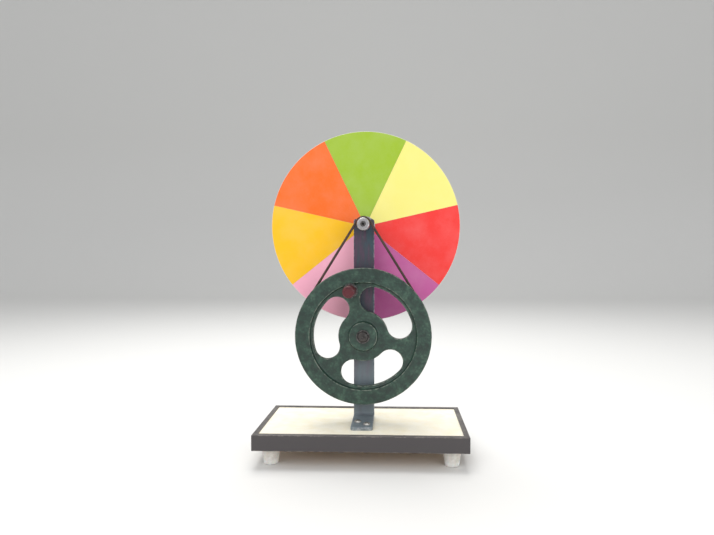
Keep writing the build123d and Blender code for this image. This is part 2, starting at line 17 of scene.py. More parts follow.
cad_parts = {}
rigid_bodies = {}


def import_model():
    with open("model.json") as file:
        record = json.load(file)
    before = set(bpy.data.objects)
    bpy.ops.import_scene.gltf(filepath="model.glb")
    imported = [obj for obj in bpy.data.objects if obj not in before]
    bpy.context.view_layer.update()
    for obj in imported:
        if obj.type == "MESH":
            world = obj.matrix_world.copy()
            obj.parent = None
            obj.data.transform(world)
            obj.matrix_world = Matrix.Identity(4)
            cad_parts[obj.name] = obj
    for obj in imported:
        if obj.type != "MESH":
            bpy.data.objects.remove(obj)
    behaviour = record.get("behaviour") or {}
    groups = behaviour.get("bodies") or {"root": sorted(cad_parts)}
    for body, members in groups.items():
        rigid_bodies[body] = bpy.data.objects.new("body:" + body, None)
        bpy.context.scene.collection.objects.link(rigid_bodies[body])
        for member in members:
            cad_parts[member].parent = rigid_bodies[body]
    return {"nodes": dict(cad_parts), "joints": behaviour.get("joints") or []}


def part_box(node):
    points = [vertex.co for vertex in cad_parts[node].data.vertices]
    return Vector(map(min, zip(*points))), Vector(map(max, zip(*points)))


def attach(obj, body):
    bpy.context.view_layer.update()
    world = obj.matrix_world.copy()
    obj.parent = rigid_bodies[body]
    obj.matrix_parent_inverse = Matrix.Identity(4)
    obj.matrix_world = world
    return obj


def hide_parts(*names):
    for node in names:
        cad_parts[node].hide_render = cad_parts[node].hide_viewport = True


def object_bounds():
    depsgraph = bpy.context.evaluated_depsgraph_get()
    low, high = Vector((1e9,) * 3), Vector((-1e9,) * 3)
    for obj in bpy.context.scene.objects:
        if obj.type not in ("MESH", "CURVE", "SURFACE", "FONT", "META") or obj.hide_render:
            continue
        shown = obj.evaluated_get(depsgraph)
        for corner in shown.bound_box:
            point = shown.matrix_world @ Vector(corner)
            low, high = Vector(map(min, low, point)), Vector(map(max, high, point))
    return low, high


bl_info = {
    "name": "Newton colour disc",
    "version": (1, 0, 0),
    "blender": (4, 5, 0),
    "location": "3D View > Sidebar > Newton disc",
    "description": "Builds the looks of a belt-driven colour disc with a crank round its packed frame",
    "category": "Object",
}

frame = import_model()
cad_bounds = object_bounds()

MM = 0.001
SECTOR_NAMES = ["green", "yellow", "red", "purple", "pink", "amber", "orange"]
BOARD_CORNERS = ["front_left", "front_right", "rear_left", "rear_right"]


# ---- Places and sizes that come from the frame ----
def joint_place(name):
    """Where a joint's axis stands, at the middle of the frame's depth."""
    joint = next(joint for joint in frame["joints"] if joint["name"] == name)
    return Vector((joint["pos_m"][0], 0.0, joint["pos_m"][2]))


def front(node):
    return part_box(node)[0].y


def back(node):
    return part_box(node)[1].y


def span(node):
    """Where a node starts and ends along Y."""
    return front(node), back(node)


def half_width(node):
    low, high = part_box(node)
    return (high.x - low.x) / 2


def middle(node):
    low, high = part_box(node)
    return (low + high) / 2


def mm(*values):
    """Lengths in millimetres as metres."""
    return [value * MM for value in values]


WHEEL_AXIS = joint_place("wheel_spin")
SPINDLE_AXIS = joint_place("disc_spin")
CRANK_AXIS = joint_place("grip_spin")
BELT_PLANE = middle("drive_belt").y
SPINDLE_RADIUS = half_width("disc_spindle")
RUNNING, CLEAR = mm(0.05, 0.15)  # gaps round a shaft: in what turns on it, and in what is put over it
Y_TO_UP = Matrix.Rotation(math.radians(90), 4, "X")
Y_TO_DOWN = Matrix.Rotation(math.radians(-90), 4, "X")


# ---- Properties: the sizes and colours that a user would change ----
def length(name, millimetres, text):
    return FloatProperty(name=name, description=text, default=millimetres * MM, min=0.0, unit="LENGTH",
                         precision=5)


def number(name, value, text):
    return FloatProperty(name=name, description=text, default=value, precision=4)


def angle(name, degrees, text):
    return FloatProperty(name=name, description=text, default=math.radians(degrees), subtype="ANGLE")


def shade(name, red, green, blue, text):
    """A colour property, given as the 0 to 255 values that a screen shows."""
    screen = [value / 255 for value in (red, green, blue)]
    linear = [v / 12.92 if v <= 0.04045 else ((v + 0.055) / 1.055) ** 2.4 for v in screen]
    return FloatVectorProperty(name=name, description=text, default=(*linear, 1.0), size=4, min=0.0,
                               max=1.0, subtype="COLOR")


class NewtonBase(bpy.types.PropertyGroup):
    channel_wall: length("Channel wall", 1.6, "Thickness against the board's edge")
    channel_edge: length("Channel edge", 0.7, "Rounding of the outer edges")
    lip_edge: length("Lip edge", 0.35, "Rounding of the channel's lips")
    mitre_gap: length("Mitre gap", 0.06, "Half of the gap at a corner")
    foot_bottom: length("Foot bottom", 13.6, "Diameter where a foot stands")
    foot_edge: length("Foot edge", 1.4, "Rounding of the lower edge")
    foot_recess: length("Foot recess", 8.0, "Diameter of the screw's recess")
    foot_recess_depth: length("Foot recess depth", 8.0, "Depth of the screw's recess")
    foot_lip: length("Foot lip", 0.5, "Rounding of the recess's mouth")
    plywood: shade("Plywood", 196, 160, 112, "Board")
    plywood_grain: shade("Plywood grain", 158, 118, 74, "Darker grain of the board")
    laminate: shade("Laminate", 253, 247, 228, "Sheet on top of the board")
    laminate_tone: shade("Laminate tone", 250, 240, 210, "What the sheet yellows towards")
    edging: shade("Edging", 68, 64, 65, "Channel round the board")
    edging_worn: shade("Worn edging", 132, 124, 118, "Rubbed edges of the channel")
    foot_rubber: shade("Foot rubber", 231, 229, 225, "Feet")
    dust: shade("Dust", 190, 184, 172, "Dust on flat faces")


class NewtonUpright(bpy.types.PropertyGroup):
    bend_radius: length("Bend radius", 3.0, "Inner radius of the bend")
    corner_radius: length("Corner radius", 2.5, "Rounding of the bar's four corners")
    foot_length: length("Foot length", 43.0, "Reach of the foot in front of the upright face")
    edge_radius: length("Edge radius", 0.4, "Rounding of the long edges")
    screw_hole: length("Screw hole", 3.9, "Diameter of the wood screws' holes")
    paint: shade("Bar paint", 52, 50, 64, "Bar")
    paint_cool: shade("Cool paint", 36, 62, 74, "Cooler streaks")
    paint_warm: shade("Warm paint", 72, 46, 70, "Warmer streaks")
    # Painted light: the three settings below make the bar paler low down. This stands in for light bounced up
    # from the cream laminate, and is not real fading or dust.
    paint_bounce_lit: shade("Bounce-lit paint", 116, 128, 134, "Paler paint low on the bar, painted for light bounced up from the laminate")
    bounce_light_from: length("Bounce light from", 150.0, "Height below which the paint gets paler")
    bounce_light_to: length("Bounce light to", 50.0, "Height below which the paint is palest")
    paint_worn: shade("Worn paint", 168, 172, 178, "Metal on the rubbed edges")


class NewtonWheel(bpy.types.PropertyGroup):
    rim_depth: length("Rim depth", 14.5, "From the rim's outside to the web")
    corner: length("Corner", 0.8, "Rounding of the casting's corners")
    fillet: length("Fillet", 1.4, "Fillet between the web and the rim or hub")
    draft: length("Draft", 0.8, "How far the rim and hub spread towards the web")
    hub_radius: length("Hub radius", 14.0, "Radius of the hub's face")
    window_inner: length("Window inner radius", 25.0, "From the axle to the windows")
    window_margin: length("Window margin", 3.5, "Web between the windows and the rim")
    window_edge: length("Window edge", 0.8, "Rounding of the windows' edges")
    spoke_width: length("Spoke width", 11.8, "Least width of a spoke")
    groove_mouth: length("Groove mouth", 6.0, "Width of the belt groove at the rim")
    groove_floor: length("Groove floor", 2.6, "Width of the belt groove at its floor")
    groove_depth: length("Groove depth", 3.6, "Depth of the belt groove")
    bush_wall: length("Bush wall", 2.0, "Wall of the bush in the hub")
    paint: shade("Wheel paint", 32, 62, 50, "Casting")
    paint_pale: shade("Pale paint", 68, 98, 80, "Lighter patches")
    paint_deep: shade("Deep paint", 20, 42, 34, "Darker patches and rings")
    paint_worn: shade("Worn wheel", 128, 134, 122, "Bare casting on the rubbed corners")


class NewtonCrank(bpy.types.PropertyGroup):
    pin_diameter: length("Pin diameter", 5.0, "Diameter of the crank pin")
    pin_head: length("Pin head", 6.6, "Diameter of the pin's head")
    pin_washer: length("Pin washer", 15.0, "Diameter of the washer behind the grip")
    grip_waist: length("Grip waist", 9.8, "Diameter of the grip's waist")
    grip_end: length("Grip end", 1.04, "Rounding of the outer end")
    grip_recess: length("Grip recess", 7.8, "Diameter of the recess in the end")
    grip_recess_depth: length("Grip recess depth", 3.0, "Depth of the recess in the end")
    grip_cap: length("Grip cap", 0.45, "Thickness of the cap that closes the recess")
    grip: shade("Grip", 86, 10, 24, "Grip")
    grip_dark: shade("Grip shadow", 60, 8, 18, "Darker swirls in the plastic")


class NewtonSpindle(bpy.types.PropertyGroup):
    barrel_diameter: length("Barrel diameter", 7.9, "Diameter of the bearing's barrel")
    nose_hole: length("Nose hole", 2.2, "Diameter of the centre hole in the nose")
    nose_hole_depth: length("Nose hole depth", 1.5, "Depth of the centre hole in the nose")
    pulley: length("Pulley", 12.8, "Diameter of the flanges")
    pulley_groove: length("Pulley groove", 10.9, "Diameter at the groove's floor")
    pulley_mouth: length("Pulley mouth", 3.8, "Width of the groove at its mouth")
    pulley_flange: length("Pulley flange", 3.1, "Thickness of the rear flange")
    pulley_boss: length("Pulley boss", 12.0, "Diameter of the pulley's boss")
    hub_boss: length("Hub boss", 13.0, "Diameter of the disc hub's boss")
    hub_boss_length: length("Hub boss length", 5.0, "Length of the disc hub's boss")
    screw_hole: length("Set screw hole", 2.8, "Diameter of the set screws' holes")
    aluminium: shade("Aluminium", 182, 178, 180, "Pulley and disc hub")
    aluminium_dark: shade("Dark aluminium", 150, 148, 148, "Tool marks in the aluminium")
    belt: shade("Belt", 46, 28, 22, "Drive belt")
    belt_dull: shade("Dull belt", 78, 58, 48, "Duller patches of the belt")


class NewtonDisc(bpy.types.PropertyGroup):
    board_edge: length("Board edge", 0.7, "Rounding of the rear edge")
    sector_gap: length("Sector gap", 0.12, "Seam between two sectors")
    sector_edge: length("Sector edge", 0.08, "Rounding of a sector's edges")
    board: shade("Board", 226, 222, 212, "Plain back and rim")
    green: shade("Green", 156, 187, 51, "Top sector; the others follow clockwise")
    yellow: shade("Yellow", 242, 232, 131, "Second sector")
    red: shade("Red", 238, 62, 58, "Third sector")
    purple: shade("Purple", 194, 96, 156, "Fourth sector")
    pink: shade("Pink", 250, 178, 200, "Fifth sector")
    amber: shade("Amber", 250, 192, 33, "Sixth sector")
    orange: shade("Orange", 243, 109, 36, "Seventh sector")


class NewtonHardware(bpy.types.PropertyGroup):
    axle_diameter: length("Axle diameter", 8.0, "Diameter of the wheel's axle")
    pitch: length("Thread pitch", 0.8, "Pitch of the machine threads")
    thread_depth: length("Thread depth", 0.4, "Depth of the coarser machine threads")
    nut_edge: length("Nut edge", 0.3, "Rounding of the nuts' corners")
    washer_edge: length("Washer edge", 0.3, "Rounding of the stamped edge")
    axle_head: length("Axle head", 11.0, "Diameter of the axle's head")
    axle_head_height: length("Axle head height", 2.8, "Height of the axle's head")
    head_washer: length("Head washer", 13.5, "Diameter of the washer behind the axle's head")
    slot_width: length("Slot width", 1.3, "Width of the axle head's slot")
    screw_diameter: length("Wood screw", 3.6, "Diameter of the wood screws")
    screw_head_height: length("Wood screw head", 2.2, "Height of the domed heads")
    screw_slot: length("Wood screw slot", 0.9, "Width of the slots of small screws")
    wood_pitch: length("Wood thread pitch", 1.6, "Pitch of the wood screws' threads")
    zinc: shade("Zinc", 212, 210, 204, "Plated fasteners")
    zinc_dark: shade("Dark zinc", 150, 146, 138, "Duller patches of the plating")
    steel: shade("Steel", 86, 82, 80, "Blackened steel shafts")
    steel_dark: shade("Dark steel", 52, 50, 50, "Tool marks in the steel")
    brass: shade("Brass", 206, 168, 92, "Bushes and thrust washers")
    brass_dark: shade("Dark brass", 142, 106, 52, "Tarnish on the brass")


class NewtonStage(bpy.types.PropertyGroup):
    lens: number("Lens", 26.96, "Focal length in millimetres on a 36 mm sensor")
    shift_x: number("Shift right", -0.0270, "Shift of the frame, as a share of its width")
    shift_y: number("Shift up", 0.0042, "Shift of the frame, as a share of its width")
    camera_right: length("Camera right", 33.4, "Camera's place along X")
    camera_away: length("Camera away", 531.9, "Camera's distance in front of the origin")
    camera_up: length("Camera up", 192.9, "Camera's height above the floor")
    yaw: angle("Camera yaw", -2.2, "Turn of the camera to the right")
    pitch: angle("Camera pitch", 1.3, "How far the camera looks down")
    key_power: number("Key light", 5.5, "Power of the light in front, in watts")
    fill_power: number("Fill light", 5.0, "Power of the light on the right, in watts")
    top_power: number("Top light", 17.0, "Power of the light overhead, in watts")
    sky_power: number("Sky", 0.7, "Strength of the even light from all round")
    floor: shade("Floor", 222, 221, 218, "Floor and backdrop")
    sky: shade("Sky colour", 250, 252, 255, "Even light")


def groups(*names):
    """Some of the scene's groups of sizes and colours."""
    return [getattr(bpy.context.scene, "newton_" + name) for name in names]


# ---- Outlines ----
ARC_STEP = math.radians(15)  # the widest turn between two points of a rounding
SUPPORT = 0.25 * MM  # from a rounding to the point that keeps the face beside it flat
MESH_TOLERANCE = 1e-5


def rounded(corners, closed=False):
    """An outline through corners (a, b, radius), as points, each arc held by a point either side."""
    points = []
    last = len(corners) - 1
    for place, (a, b, radius) in enumerate(corners):
        here = np.array((a, b))
        if radius <= 0 or (not closed and place in (0, last)):
            points.append(tuple(here))
            continue
        before = np.array(corners[place - 1][:2]) - here
        after = np.array(corners[(place + 1) % len(corners)][:2]) - here
        room = min(np.linalg.norm(before), np.linalg.norm(after)) / 2
        before, after = before / np.linalg.norm(before), after / np.linalg.norm(after)
        opening = math.acos(max(-1.0, min(1.0, float(before @ after))))
        reach = radius / math.tan(opening / 2)
        turn = math.pi - opening
        bisector = (before + after) / np.linalg.norm(before + after)
        centre = here + bisector * radius / math.sin(opening / 2)
        start, end = here + before * reach, here + after * reach
        steps = max(2, math.ceil(turn / ARC_STEP))
        curve = []
        for step in range(steps + 1):
            one, other = (math.sin(share * turn) for share in (1 - step / steps, step / steps))
            curve.append(tuple(centre + ((start - centre) * one + (end - centre) * other) / math.sin(turn)))
        if room - reach > 2 * SUPPORT:
            curve = [tuple(start + before * SUPPORT), *curve, tuple(end + after * SUPPORT)]
        points += curve
    return points


def mirrored(corners, plane):
    """Corners (a, b, radius), and the same again on the other side of a plane across b."""
    return corners + [(a, 2 * plane - b, radius) for a, b, radius in reversed(corners)]


def arc(centre, radius, start, turn, spacing=None, steps=3):
    """Points along an arc, its last one left out, in equal steps or no further apart than a spacing."""
    if spacing:
        steps = max(steps, math.ceil(radius * abs(turn) / spacing))
    angles = [start + turn * step / steps for step in range(steps)]
    return [(centre[0] + radius * math.cos(a), centre[1] + radius * math.sin(a)) for a in angles]


def circle(radius, steps, centre=(0.0, 0.0), sense=1):
    """Points round a circle, starting on the right; a sense of -1 runs clockwise, for a hole."""
    return arc(centre, radius, 0.0, sense * math.tau, steps=steps)


def quarter(steps):
    """Angles through a right angle, both ends included."""
    return [math.pi / 2 * step / steps for step in range(steps + 1)]


def spaced(points, spacing):
    """A closed outline with points added so that none are further apart than the spacing."""
    made = []
    for place, here in enumerate(points):
        after = points[(place + 1) % len(points)]
        steps = max(1, math.ceil(math.dist(here, after) / spacing))
        for step in range(steps):
            share = step / steps
            made.append((here[0] + (after[0] - here[0]) * share, here[1] + (after[1] - here[1]) * share))
    return made


def moved(loop, distance):
    """A closed loop shifted to its left, which is into the material."""
    points = np.array(loop)
    along = np.roll(points, -1, 0) - np.roll(points, 1, 0)
    left = np.stack([-along[:, 1], along[:, 0]], 1)
    left /= np.linalg.norm(left, axis=1)[:, None]
    return [tuple(point) for point in points + left * distance]


def inside(places, loops):
    """Which places lie within an outline and outside its holes, by counting crossings."""
    hits = np.zeros(len(places), int)
    for loop in loops:
        one = np.array(loop)
        for (x1, y1), (x2, y2) in zip(one, np.roll(one, -1, 0)):
            spans = (places[:, 1] > y1) != (places[:, 1] > y2)
            if y1 != y2:
                crossing = x1 + (places[:, 1] - y1) * (x2 - x1) / (y2 - y1)
                hits += spans & (places[:, 0] < crossing)
    return hits % 2 == 1


def filled(loops, guides=(), seeds=()):
    """Points and triangles of a flat area with holes, with guides and seeds among its points."""
    points, edges = [], []
    for loop in [*loops, *guides]:
        start = len(points)
        points.extend(loop)
        edges.extend((start + k, start + (k + 1) % len(loop)) for k in range(len(loop)))
    points.extend(seeds)
    flat = [Vector((a / MM, b / MM)) for a, b in points]
    places, _, triangles, _, _, _ = delaunay_2d_cdt(flat, edges, [], 0, MESH_TOLERANCE)
    places = np.array([tuple(place) for place in places]) * MM
    middles = np.array([places[list(triangle)].mean(0) for triangle in triangles])
    return places, [triangle for triangle, keep in zip(triangles, inside(middles, loops)) if keep]


# ---- Solids ----
HOLE_STEPS = 40
SCREW_STEPS = 48
BORE_STEPS = 64
TURN_STEPS = 96
WHEEL_STEPS = 192
DISC_STEPS = 256
PLATE_EDGE_STEPS = 4
PAST_HEAD = 1.5  # how far saws and drills go out from the axis, in radii of the head or boss
ON_AXIS = 1e-7
SAME_POINT = 1e-6


class Shape:
    """Points and faces that are gathered before they become one mesh."""

    def __init__(self):
        self.points = []
        self.faces = []

    def row(self, places):
        start = len(self.points)
        self.points.extend(tuple(place) for place in places)
        return list(range(start, len(self.points)))

    def skin(self, rows, loop=False):
        """Joins each row to the next; a row of one point is a tip."""
        for one, other in zip(rows, rows[1:] + (rows[:1] if loop else [])):
            for k in range(max(len(one), len(other))):
                corners = [one[k % len(one)], one[(k + 1) % len(one)],
                           other[(k + 1) % len(other)], other[k % len(other)]]
                self.faces.append(list(dict.fromkeys(corners)))

    def prism(self, *ends):
        """Joins two outlines of points and closes them off."""
        rows = [self.row(end) for end in ends]
        self.skin(rows)
        self.faces += rows
        return self

    def turned(self, outline, steps=TURN_STEPS, loop=False, relief=None):
        """Turns an outline of (radius, y) about Y; relief takes depth off a point at (y, angle)."""
        rows = []
        for radius, y in outline:
            if radius < ON_AXIS:
                rows.append(self.row([(0.0, y, 0.0)]))
                continue
            ring = []
            for step in range(steps):
                turn = math.tau * step / steps
                here = radius - (relief(radius, y, turn) if relief else 0.0)
                ring.append((here * math.cos(turn), y, here * math.sin(turn)))
            rows.append(self.row(ring))
        self.skin(rows, loop)
        return self

    def plate(self, loops, low, high, edge, lay, joined=(), guides=(), seeds=()):
        """A plate between two levels, its edges rounded; joined loops are left open for a neighbour."""
        flat = [moved(loop, edge) for loop in loops]
        held = [moved(loop, edge + SUPPORT) for loop in loops]
        for level in (low, high):
            places, triangles = filled([*flat, *joined], [*held, *guides], seeds)
            start = self.row([lay(a, b, level) for a, b in places])[0]
            self.faces.extend([start + corner for corner in triangle] for triangle in triangles)
        arcs = [(edge * (1 - math.sin(a)), edge * (1 - math.cos(a))) for a in quarter(PLATE_EDGE_STEPS)]
        sides = [(inset, low + drop) for inset, drop in arcs]
        sides += [(inset, high - drop) for inset, drop in reversed(arcs)]
        for loop in loops:
            self.skin([self.row([lay(a, b, level) for a, b in moved(loop, inset)]) for inset, level in sides])
        return self

    def shifted(self, place):
        """Moves the shape across its axis, as far as the place is from the origin."""
        self.points = [(x + place.x, y, z + place.z) for x, y, z in self.points]
        return self

    def solid(self, name, centre=(0.0, 0.0, 0.0), rotation=None):
        """The shape as an object of the scene, its doubled points merged and its faces turned outwards."""
        mesh = bpy.data.meshes.new(name)
        mesh.from_pydata(self.points, [], self.faces)
        work = bmesh.new()
        work.from_mesh(mesh)
        bmesh.ops.remove_doubles(work, verts=work.verts, dist=SAME_POINT)
        bmesh.ops.recalc_face_normals(work, faces=work.faces)
        work.to_mesh(mesh)
        work.free()
        made = bpy.data.objects.new(name, mesh)
        bpy.context.scene.collection.objects.link(made)
        made.matrix_world = Matrix.Translation(centre) @ (rotation or Matrix.Identity(4))
        return made


def bored_solid(name, corners, centre, steps=TURN_STEPS, rotation=None):
    """A turned piece with a hole along its axis, from the corners (radius, y, rounding) of its section."""
    return Shape().turned(rounded(corners, closed=True), steps, loop=True).solid(name, centre, rotation)


def work_on(piece, tool, operation):
    """Cuts a tool from a piece or adds it, in the piece's own axes, and takes the tool away."""
    cutter = tool.solid("tool")
    cutter.matrix_world = piece.matrix_world.copy()
    modifier = piece.modifiers.new("work", "BOOLEAN")
    modifier.operation = operation
    modifier.solver = "MANIFOLD"
    modifier.object = cutter
    bpy.context.view_layer.update()
    ready = piece.evaluated_get(bpy.context.evaluated_depsgraph_get())
    mesh = bpy.data.meshes.new_from_object(ready)
    piece.modifiers.clear()
    if not mesh.polygons or len(mesh.polygons) == len(piece.data.polygons):
        raise RuntimeError(f"{piece.name}: the {operation.lower()} did nothing")
    piece.data = mesh
    bpy.data.objects.remove(cutter)
    return piece


def slotted(screw, head, depth, width, face, turn=0.0):
    """Saws a slot across a head of some radius, centred on its face, which is at a place along Y."""
    spin = Matrix.Rotation(turn, 3, "Y")
    ends = [[spin @ Vector((x * head * PAST_HEAD, y * depth / 2, z * width / 2)) + Vector((0.0, face, 0.0))
             for x, z in ((-1, -1), (1, -1), (1, 1), (-1, 1))] for y in (-1, 1)]
    return work_on(screw, Shape().prism(*ends), "DIFFERENCE")


def drilled(boss, radius, y, boss_radius):
    """Drills a hole straight up through a boss on the spindle, at one place along it."""
    outline = circle(radius, HOLE_STEPS, (0.0, y))
    ends = [[(x, y, z) for x, y in outline] for z in (SPINDLE_RADIUS / 2, boss_radius * PAST_HEAD)]
    return work_on(boss, Shape().prism(*ends), "DIFFERENCE")


EDGE_RADIUS = 0.8 * MM  # corners as tight as this are rubbed most
FLAT_SHARE = 0.15  # the share of that tightness below which nothing is rubbed
SHARP_ANGLE = math.radians(32)
NO_LENGTH = 1e-14


def mark_edges(mesh):
    """Stores how far each point stands out, 1 on a tight corner and 0 on a face, for the wear."""
    count = len(mesh.vertices)
    places, normals = np.empty(count * 3), np.empty(count * 3)
    mesh.vertices.foreach_get("co", places)
    mesh.vertices.foreach_get("normal", normals)
    places, normals = places.reshape(-1, 3), normals.reshape(-1, 3)
    pairs = np.empty(len(mesh.edges) * 2, np.int32)
    mesh.edges.foreach_get("vertices", pairs)
    one, other = pairs.reshape(-1, 2).T
    run = places[other] - places[one]
    bend = ((normals[other] - normals[one]) * run).sum(1) / np.maximum((run * run).sum(1), NO_LENGTH)
    sharpest = np.zeros(count)
    np.maximum.at(sharpest, one, bend)
    np.maximum.at(sharpest, other, bend)
    share = np.clip((sharpest * EDGE_RADIUS - FLAT_SHARE) / (1 - FLAT_SHARE), 0, 1)
    attribute = mesh.attributes.new("edge", "FLOAT", "POINT")
    attribute.data.foreach_set("value", share.astype(np.float32))


def settle(piece, slot, body, node):
    """Gives a finished piece its shading, finish and body, in the place of its frame node."""
    piece.data.shade_smooth()
    piece.data.set_sharp_from_angle(angle=SHARP_ANGLE)
    mark_edges(piece.data)
    piece.data.materials.clear()
    piece.data.materials.append(finish_of(slot))
    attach(piece, body)
    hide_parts(node)


# ---- Node groups: effects that several finishes share ----
class Bench:
    """Puts nodes into one shader tree and joins them."""

    def __init__(self, tree):
        self.tree = tree

    def feed(self, socket, value):
        if isinstance(value, bpy.types.NodeSocket):
            self.tree.links.new(value, socket)
        else:
            socket.default_value = value

    def add(self, kind, inputs=(), **settings):
        node = self.tree.nodes.new("ShaderNode" + kind)
        for key, value in settings.items():
            setattr(node, key, value)
        for key, value in dict(inputs).items():
            self.feed(node.inputs[key], value)
        return node

    def times(self, one, other):
        return self.add("Math", {0: one, 1: other}, operation="MULTIPLY").outputs[0]

    def overlaid(self, coarse, fine, share):
        """A coarse noise with a share of a fine one added to it."""
        return self.add("Math", {0: coarse, 1: self.times(fine, share)}, operation="ADD").outputs[0]

    def spread(self, value, low, high, start=0.0, end=1.0):
        """Maps a value from low..high to start..end, held within them."""
        node = self.add("MapRange", {"Value": value, "From Min": low, "From Max": high,
                                     "To Min": start, "To Max": end})
        return node.outputs[0]

    def mix(self, share, one, other):
        return self.add("Mix", {0: share, 6: one, 7: other}, data_type="RGBA").outputs[2]

    def millimetres(self, stretch=(1.0, 1.0, 1.0)):
        """The piece's own coordinates in millimetres, stretched along each axis."""
        place = self.add("TexCoord").outputs["Object"]
        scale = tuple(value / MM for value in stretch)
        return self.add("VectorMath", {0: place, 1: scale}, operation="MULTIPLY").outputs[0]

    def noise(self, place, scale, detail=2.0, roughness=0.5):
        return self.add("TexNoise", {"Vector": place, "Scale": scale, "Detail": detail,
                                     "Roughness": roughness}).outputs[0]


class Effect(Bench):
    """A shader node group with named inputs and outputs."""

    def __init__(self, name, inputs, outputs):
        tree = bpy.data.node_groups.new(name, "ShaderNodeTree")
        super().__init__(tree)
        for label, value in inputs.items():
            kind = "NodeSocketFloat" if isinstance(value, float) else "NodeSocketColor"
            tree.interface.new_socket(label, in_out="INPUT", socket_type=kind).default_value = value
        for label in outputs:
            kind = "NodeSocketColor" if label == "Color" else "NodeSocketFloat"
            tree.interface.new_socket(label, in_out="OUTPUT", socket_type=kind)
        self.given = tree.nodes.new("NodeGroupInput").outputs
        self.result = tree.nodes.new("NodeGroupOutput").inputs

    def give(self, **results):
        for label, value in results.items():
            self.feed(self.result[label], value)


WHITE = (1.0, 1.0, 1.0, 1.0)


def make_hammered_paint():
    """Thick paint that dries in small dimples, with darker rings between them."""
    effect = Effect("hammered_paint", {"Paint": WHITE, "Pale": WHITE, "Deep": WHITE, "Dimples": 0.5,
                                       "Patches": 0.12}, ["Color", "Roughness", "Height"])
    given = effect.given
    place = effect.millimetres()
    wander = effect.noise(place, 0.35)
    shifted = effect.add("VectorMath", {0: place, 1: wander}, operation="ADD").outputs[0]
    cells = effect.add("TexVoronoi", {"Vector": shifted, "Scale": given["Dimples"], "Smoothness": 0.6},
                       feature="SMOOTH_F1").outputs["Distance"]
    dimple = effect.spread(cells, 0.1, 0.75, 1.0, 0.0)
    patches = effect.noise(place, given["Patches"], 3.0, 0.6)
    colour = effect.mix(effect.spread(patches, 0.36, 0.5), given["Deep"], given["Paint"])
    colour = effect.mix(effect.spread(patches, 0.52, 0.72, 0.0, 0.75), colour, given["Pale"])
    rings = effect.spread(dimple, 0.55, 0.15, 0.0, 0.55)
    effect.give(Color=effect.mix(rings, colour, given["Deep"]),
                Roughness=effect.spread(patches, 0.3, 0.7, 0.34, 0.5), Height=dimple)


def make_turned_metal():
    """Fine rings that a cutting tool leaves round the piece's own Y axis, and faint tarnish."""
    effect = Effect("turned_metal", {"Metal": WHITE, "Dark": WHITE, "Rings": 4.0, "Smooth": 0.22,
                                     "Rough": 0.42}, ["Color", "Roughness", "Height"])
    given = effect.given
    place = effect.millimetres()
    parts = effect.add("SeparateXYZ", {0: place}).outputs
    across = effect.add("CombineXYZ", {0: parts[0], 1: parts[2]}).outputs[0]
    radius = effect.add("VectorMath", {0: across}, operation="LENGTH").outputs["Value"]
    lines = effect.add("CombineXYZ", {0: radius, 1: parts[1]}).outputs[0]
    rings = effect.noise(lines, given["Rings"], 1.0)
    cloud = effect.noise(place, 0.22, 4.0, 0.6)
    tarnish = effect.spread(effect.overlaid(cloud, rings, 0.45), 0.55, 0.95)
    effect.give(Color=effect.mix(tarnish, given["Metal"], given["Dark"]),
                Roughness=effect.spread(tarnish, 0.0, 1.0, given["Smooth"], given["Rough"]), Height=rings)


def make_moulded_skin():
    """The fine grain and the faint clouds of moulded plastic or rubber."""
    effect = Effect("moulded_skin", {"Base": WHITE, "Cloud": WHITE, "Grain": 3.0, "Smooth": 0.4,
                                     "Rough": 0.6}, ["Color", "Roughness", "Height"])
    given = effect.given
    place = effect.millimetres()
    grain = effect.noise(place, given["Grain"], 2.0, 0.6)
    share = effect.spread(effect.overlaid(effect.noise(place, 0.09, 4.0, 0.62), grain, 0.15), 0.45, 0.8)
    effect.give(Color=effect.mix(share, given["Base"], given["Cloud"]),
                Roughness=effect.spread(grain, 0.3, 0.7, given["Smooth"], given["Rough"]), Height=grain)


def make_edge_wear():
    """Rubs a finish through to what is under it, along the corners that stand out."""
    effect = Effect("edge_wear", {"Finish": WHITE, "Under": WHITE, "Amount": 0.5, "Breaks": 0.5},
                    ["Color", "Mask"])
    given = effect.given
    edge = effect.add("Attribute", attribute_name="edge").outputs["Fac"]
    breaks = effect.noise(effect.millimetres(), given["Breaks"], 4.0, 0.65)
    rubbed = effect.times(edge, effect.spread(breaks, 0.4, 0.7))
    mask = effect.times(effect.spread(rubbed, 0.15, 0.6), given["Amount"])
    effect.give(Color=effect.mix(mask, given["Finish"], given["Under"]), Mask=mask)


def make_settled_dust():
    """A thin uneven film of dust on faces that look up."""
    effect = Effect("settled_dust", {"Finish": WHITE, "Dust": WHITE, "Amount": 0.2}, ["Color", "Mask"])
    given = effect.given
    normal = effect.add("NewGeometry").outputs["Normal"]
    upward = effect.spread(effect.add("SeparateXYZ", {0: normal}).outputs[2], 0.35, 0.95)
    cloud = effect.spread(effect.noise(effect.millimetres(), 0.05, 5.0, 0.65), 0.35, 0.75)
    mask = effect.times(effect.times(upward, cloud), given["Amount"])
    effect.give(Color=effect.mix(mask, given["Finish"], given["Dust"]), Mask=mask)


def make_printed_sheet():
    """Ink on thin card: faint mottling and the card's fibres."""
    effect = Effect("printed_sheet", {"Ink": WHITE, "Card": WHITE, "Fibres": 2.0},
                    ["Color", "Roughness", "Height"])
    given = effect.given
    fibres = effect.noise(effect.millimetres((1.0, 1.0, 0.35)), given["Fibres"], 3.0, 0.6)
    mottle = effect.noise(effect.millimetres(), 0.04, 4.0, 0.6)
    share = effect.spread(effect.overlaid(mottle, fibres, 0.3), 0.5, 0.95, 0.0, 0.06)
    effect.give(Color=effect.mix(share, given["Ink"], given["Card"]),
                Roughness=effect.spread(fibres, 0.3, 0.7, 0.48, 0.62), Height=fibres)


